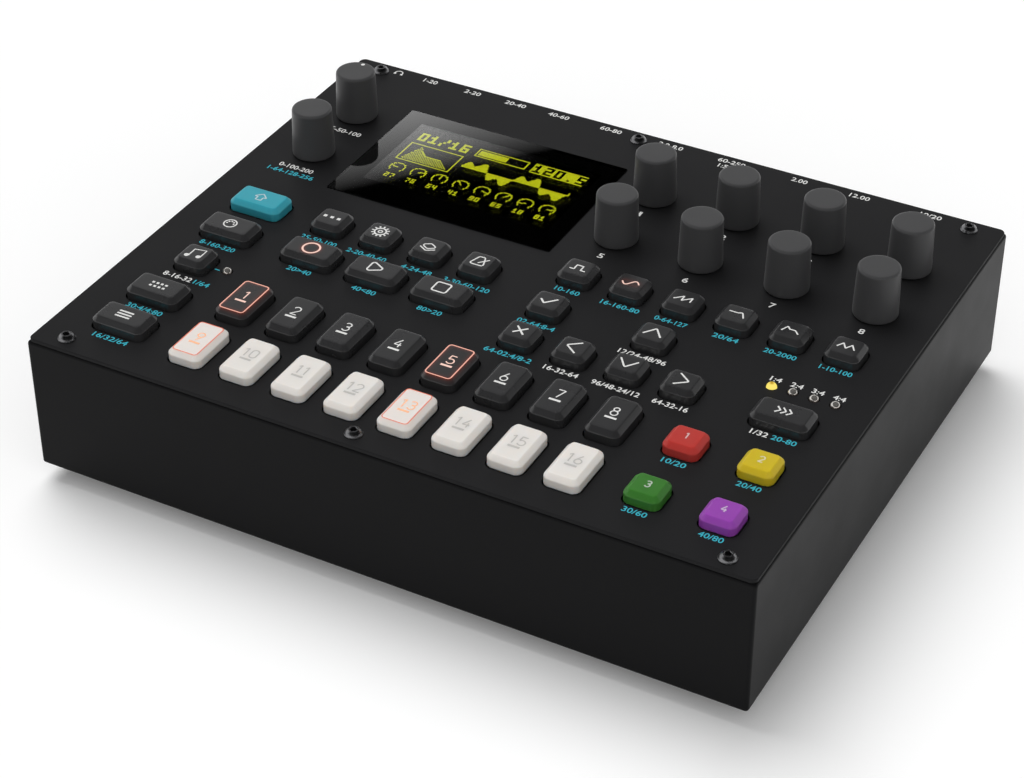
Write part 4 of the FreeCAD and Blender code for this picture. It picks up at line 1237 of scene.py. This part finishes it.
def border_mesh(box):
    """Border on the back of the window, just inside the clear sheet, open in its middle."""
    low, high = box
    left, right, front, rear = CLEAR_AREA
    inset = 2 * WINDOW_RIM + 0.2 * MM
    outer = (*top_middle(box)[:2], high.x - low.x - inset, high.y - low.y - inset)
    inner = ((left + right) / 2, (front + rear) / 2, right - left, rear - front)
    base = low.z + 0.05 * MM
    rings = []
    for (x, y, width, depth), z in ((outer, base), (outer, base + BORDER_THICKNESS),
                                    (inner, base + BORDER_THICKNESS), (inner, base)):
        rings.append(rounded_ring(x, y, z, width, depth, 0.5 * MM))
    mesh = lofted("border", rings + rings[:1])
    work = bmesh.new()
    work.from_mesh(mesh)
    bmesh.ops.delete(work, geom=[face for face in work.faces if len(face.verts) > 4],
                     context="FACES_ONLY")
    work.to_mesh(mesh)
    work.free()
    return mesh


class SYNTH_OT_display(bpy.types.Operator):
    """Display window and the lit display behind it"""
    bl_idname = "synth.display"
    bl_label = "Display"

    def execute(self, context):
        sizes = context.scene.synth_display
        # Polished cast acrylic with a hard coat: clear, with strong sharp reflections and next
        # to no texture.
        acrylic = material("polished_acrylic", surface, linear("ffffff"), 0.012, spread=0.006,
                           IOR=1.49, Transmission_Weight=1.0, Coat_Weight=1.0, Coat_IOR=1.75,
                           Coat_Roughness=0.01)
        # Black silk-screen ink on the back of the sheet, seen through it. It wets the sheet, so
        # it has no shine of its own.
        black = material("black_back_print", surface, linear("060606"), 0.5, 0.15, 0.002, 0.05,
                         Specular_IOR_Level=0.0)
        # Float glass over the dark panel of dots: black, with a weak clear reflection.
        glass = material("display_glass", surface, linear("040404"), 0.04, spread=0.015,
                         IOR=1.5, Specular_IOR_Level=0.25)
        # Moulded ABS of the holder: a plain dull black.
        holder = material("black_holder", surface, linear("181818"), 0.5, 0.3, 0.005, 0.05)
        dots = material("lit_dots", glow, sizes.glow)
        paint_node("display_window", acrylic)
        part_of("display_module", "display_panel", CHASSIS, "display_glass", glass, {0}, 0.2,
                ["display_module"])
        part_of("display_module", "display_holder", CHASSIS, "display_glass", holder, {1}, 0.15)
        finish_piece(border_mesh(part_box("display_window")), "window_border", CHASSIS,
                     black)
        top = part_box("display_module")[1].z
        size = sizes.pitch * DOT_SHARE
        pattern = lofted("dot", [
            rounded_ring(0, 0, z, size, size, size * 0.1, 1) for z in (0.0, DOT_HEIGHT)])
        places = []
        for column, row in sorted(display_dots()):
            places.append((sizes.centre_x + (column - sizes.columns / 2 + 0.5) * sizes.pitch,
                           sizes.centre_y - (row - sizes.rows / 2 + 0.5) * sizes.pitch, top))
        finish_piece(repeated(pattern, places, dots), "display_dots", CHASSIS,
                     dots, tidy=False)
        return {"FINISHED"}


# ---------------------------------------------------------------- sockets and insides

def brushed_metal(name, colour, roughness):
    """Plated sheet or turned metal: bright, with fine marks along its length."""
    finish = surface(name, colour, roughness, spread=0.06, Metallic=1.0)
    tree = finish.node_tree
    place = add_node(tree, "ShaderNodeTexCoord")
    # The real marks are 0.05 mm apart; they are drawn 0.3 mm apart to show.
    drawn = add_node(tree, "ShaderNodeMapping", {
        "Vector": place.outputs["Object"], "Scale": (1.0, 0.04, 1.0)})
    marks = add_node(tree, "ShaderNodeTexNoise", {
        "Vector": drawn, "Scale": 1 / (0.3 * MM), "Detail": 2.0})
    relief = add_node(tree, "ShaderNodeBump", {
        "Height": marks, "Strength": 1.0, "Distance": 0.004 * MM})
    tree.links.new(relief.outputs["Normal"], tree.nodes["surface"].inputs["Normal"])
    return finish


class SYNTH_OT_sockets(bpy.types.Operator):
    """Rear sockets and the power button"""
    bl_idname = "synth.sockets"
    bl_label = "Rear sockets"

    def execute(self, context):
        # Glass-filled nylon: black, a little greyer and rougher than ABS.
        nylon = material("moulded_nylon", surface, linear("232324"), 0.5, 0.3, 0.008, 0.06,
                         IOR=1.53, Specular_IOR_Level=0.4)
        # The cores of the five-pin sockets: the same, moulded a little paler and smoother.
        insert = material("moulded_insert", surface, linear("2e2e30"), 0.45, 0.3, 0.006, 0.05,
                          IOR=1.53, Specular_IOR_Level=0.4)
        nickel = material("nickel_plate", brushed_metal, linear("c4c1b9"), 0.22)
        tin = material("tinned_steel", brushed_metal, linear("b4b5b6"), 0.3)
        cap = material("moulded_abs_black", abs_plastic, context.scene.synth_keys.black)
        paint_node("midi_cores", insert)
        # CAD node, piece, body, slot, finish, its solids in the node's list, how far its edges
        # are broken, and the node that it replaces.
        jacks, five_pin, power, button = (
            "audio_jacks", "midi_sockets", "usb_and_dc_sockets", "power_button")
        for values in (
                (jacks, "jack_bodies", CHASSIS, "socket_black", nylon, range(0, 10, 2), 0.2,
                 [jacks]),
                (jacks, "jack_nuts", CHASSIS, "socket_metal", nickel, range(1, 10, 2), 0.25),
                (five_pin, "five_pin_housings", CHASSIS, "socket_black", nylon, range(3), 0.3,
                 [five_pin]),
                (power, "data_socket", CHASSIS, "socket_metal", tin, {0}, 0.12, [power]),
                (power, "power_inlet", CHASSIS, "socket_black", nylon, {1}, 0.2),
                (button, "power_button_cap", button, "key_black", cap, {0}, 0.35, [button])):
            part_of(*values)
        return {"FINISHED"}


class SYNTH_OT_insides(bpy.types.Operator):
    """Boards and parts inside the case"""
    bl_idname = "synth.insides"
    bl_label = "Insides"

    def execute(self, context):
        # Green liquid solder mask over glass-fibre board: glossy, with a faint weave.
        board = material("solder_mask", surface, linear("1d4a2c"), 0.3, 0.5, 0.004, 0.08,
                         IOR=1.5)
        # Moulded nylon of the switches: a plain dull black.
        body = material("switch_plastic", surface, linear("1c1c1d"), 0.5, 0.3, 0.006, 0.05)
        metal = material("zinc_body", brushed_metal, linear("a8a8a6"), 0.35)
        for node, finish in (("control_board", board), ("main_board", board),
                             ("push_switches", body), ("rotary_encoders", metal)):
            paint_node(node, finish)
        return {"FINISHED"}


# ---------------------------------------------------------------- stage

FLOOR_HALF = 4.0
# The room's dark edge is slightly tilted, and soft by this much above and below it.
ROOM_TILT, EDGE_SOFTNESS = (0.187, 0.0, 1.0), 0.011
VIEWER_SIDE = (0.5, -0.866, 0.0)
WHITE = (1.0, 1.0, 1.0, 1.0)


def mirrored_ray(tree):
    """The light path, and whether a ray is seen in a mirror or through glass."""
    path = add_node(tree, "ShaderNodeLightPath").outputs
    return path, add_node(tree, "ShaderNodeMath", {
        0: path["Is Glossy Ray"], 1: path["Is Transmission Ray"]}, operation="MAXIMUM")


def white_paper(sizes):
    """Matt white paper. It looks whiter to the camera than to the object, whose dark sides
    would otherwise be lifted by the light that comes off it."""
    finish, tree = new_material("white_paper")
    path, mirrored = mirrored_ray(tree)
    seen = add_node(tree, "ShaderNodeMath", {0: path["Is Camera Ray"], 1: mirrored},
                    operation="MAXIMUM")
    pale = add_node(tree, "ShaderNodeBsdfDiffuse", {"Color": solid([sizes.floor] * 3)})
    white = add_node(tree, "ShaderNodeBsdfDiffuse", {"Color": WHITE})
    lift = add_node(tree, "ShaderNodeEmission", {"Color": WHITE, "Strength": sizes.lift})
    both = add_node(tree, "ShaderNodeAddShader", {0: white, 1: lift})
    mix = add_node(tree, "ShaderNodeMixShader", {0: seen, 1: pale, 2: both})
    add_node(tree, "ShaderNodeOutputMaterial", {"Surface": mix})
    return finish


def studio(sizes):
    """World that is white near the floor and dark overhead, which only mirrors and the glossy
    sides of the object show. Its light on the object is soft and comes a little more from the
    viewer's side."""
    world = bpy.data.worlds.new("studio")
    world.use_nodes = True
    tree = world.node_tree
    tree.nodes.clear()
    place = add_node(tree, "ShaderNodeTexCoord").outputs["Generated"]
    path, mirrored = mirrored_ray(tree)
    rise = add_node(tree, "ShaderNodeVectorMath", {0: place, 1: ROOM_TILT},
                    operation="DOT_PRODUCT")
    wall = add_node(tree, "ShaderNodeMapRange", {
        "Value": rise.outputs["Value"], "From Min": sizes.dark_edge - EDGE_SOFTNESS,
        "From Max": sizes.dark_edge + EDGE_SOFTNESS, "To Min": 1.0, "To Max": 0.0})
    side = add_node(tree, "ShaderNodeVectorMath", {0: place, 1: VIEWER_SIDE},
                    operation="DOT_PRODUCT")
    soft = add_node(tree, "ShaderNodeMath", {
        0: side.outputs["Value"], 1: sizes.front_light, 2: sizes.ambient},
        operation="MULTIPLY_ADD", use_clamp=True)
    even = add_node(tree, "ShaderNodeMix", {0: mirrored, 2: soft, 3: wall}, data_type="FLOAT")
    strength = add_node(tree, "ShaderNodeMix", {0: path["Is Camera Ray"], 2: even, 3: 1.0},
                        data_type="FLOAT")
    sky = add_node(tree, "ShaderNodeBackground", {"Color": WHITE, "Strength": strength})
    add_node(tree, "ShaderNodeOutputWorld", {"Surface": sky})
    return world


def aimed(name, data, direction, axis):
    """Lamp or camera whose given axis points in a direction."""
    piece = linked(name, data)
    piece.rotation_euler = Vector(direction).to_track_quat(axis, "Y").to_euler()
    return piece


class SYNTH_OT_stage(bpy.types.Operator):
    """Floor, lights and camera"""
    bl_idname = "synth.stage"
    bl_label = "Stage"

    def execute(self, context):
        scene = context.scene
        sizes = scene.synth_stage
        scene.view_settings.view_transform = "Standard"
        scene.world = studio(sizes)
        mesh = bpy.data.meshes.new("floor")
        corners = [(x * FLOOR_HALF, y * FLOOR_HALF, 0)
                   for x, y in ((-1, -1), (1, -1), (1, 1), (-1, 1))]
        mesh.from_pydata(corners, [], [(0, 1, 2, 3)])
        mesh.materials.append(white_paper(sizes))
        linked("floor", mesh)

        sun = bpy.data.lights.new("overhead", "SUN")
        sun.energy = sizes.key_light
        sun.angle = math.radians(45)
        aimed("overhead", sun, sizes.key_direction, "Z").visible_glossy = False

        camera = bpy.data.cameras.new("camera")
        camera.lens = sizes.lens
        camera.sensor_width = 36.0
        camera.clip_start = 0.01
        scene.camera = aimed("camera", camera, sizes.aim, "-Z")
        scene.camera.location = sizes.eye
        return {"FINISHED"}


# ---------------------------------------------------------------- panel and registration

class SYNTH_PT_panel(bpy.types.Panel):
    """Lists the pieces and their sizes"""
    bl_label = "Synthesizer"
    bl_idname = "SYNTH_PT_panel"
    bl_space_type = "VIEW_3D"
    bl_region_type = "UI"
    bl_category = "Synthesizer"

    def draw(self, context):
        for operator in OPERATORS:
            self.layout.operator(operator.bl_idname)
        for name, group in GROUPS.items():
            box = self.layout.box()
            box.label(text=group.__doc__)
            for label in group.__annotations__:
                box.prop(getattr(context.scene, name), label)


GROUPS = {
    "synth_case": SynthCase, "synth_knobs": SynthKnobs, "synth_keys": SynthKeys,
    "synth_legends": SynthLegends, "synth_display": SynthDisplay, "synth_stage": SynthStage,
}
OPERATORS = (
    SYNTH_OT_case, SYNTH_OT_knobs, SYNTH_OT_keys, SYNTH_OT_key_legends, SYNTH_OT_panel_print,
    SYNTH_OT_lamps, SYNTH_OT_display, SYNTH_OT_sockets, SYNTH_OT_insides, SYNTH_OT_stage,
)
CLASSES = (*GROUPS.values(), *OPERATORS, SYNTH_PT_panel)


def register():
    """Registers the groups, the operators and the panel."""
    for item in CLASSES:
        bpy.utils.register_class(item)
    for name, group in GROUPS.items():
        setattr(bpy.types.Scene, name, PointerProperty(type=group))


def unregister():
    """Takes them all out again."""
    for name in GROUPS:
        delattr(bpy.types.Scene, name)
    for item in reversed(CLASSES):
        bpy.utils.unregister_class(item)


def main():
    """Builds every piece."""
    register()
    bpy.ops.synth.case()
    bpy.ops.synth.knobs()
    bpy.ops.synth.keys()
    bpy.ops.synth.key_legends()
    bpy.ops.synth.panel_print()
    bpy.ops.synth.lamps()
    bpy.ops.synth.display()
    bpy.ops.synth.sockets()
    bpy.ops.synth.insides()
    bpy.ops.synth.stage()


if __name__ == "__main__":
    main()
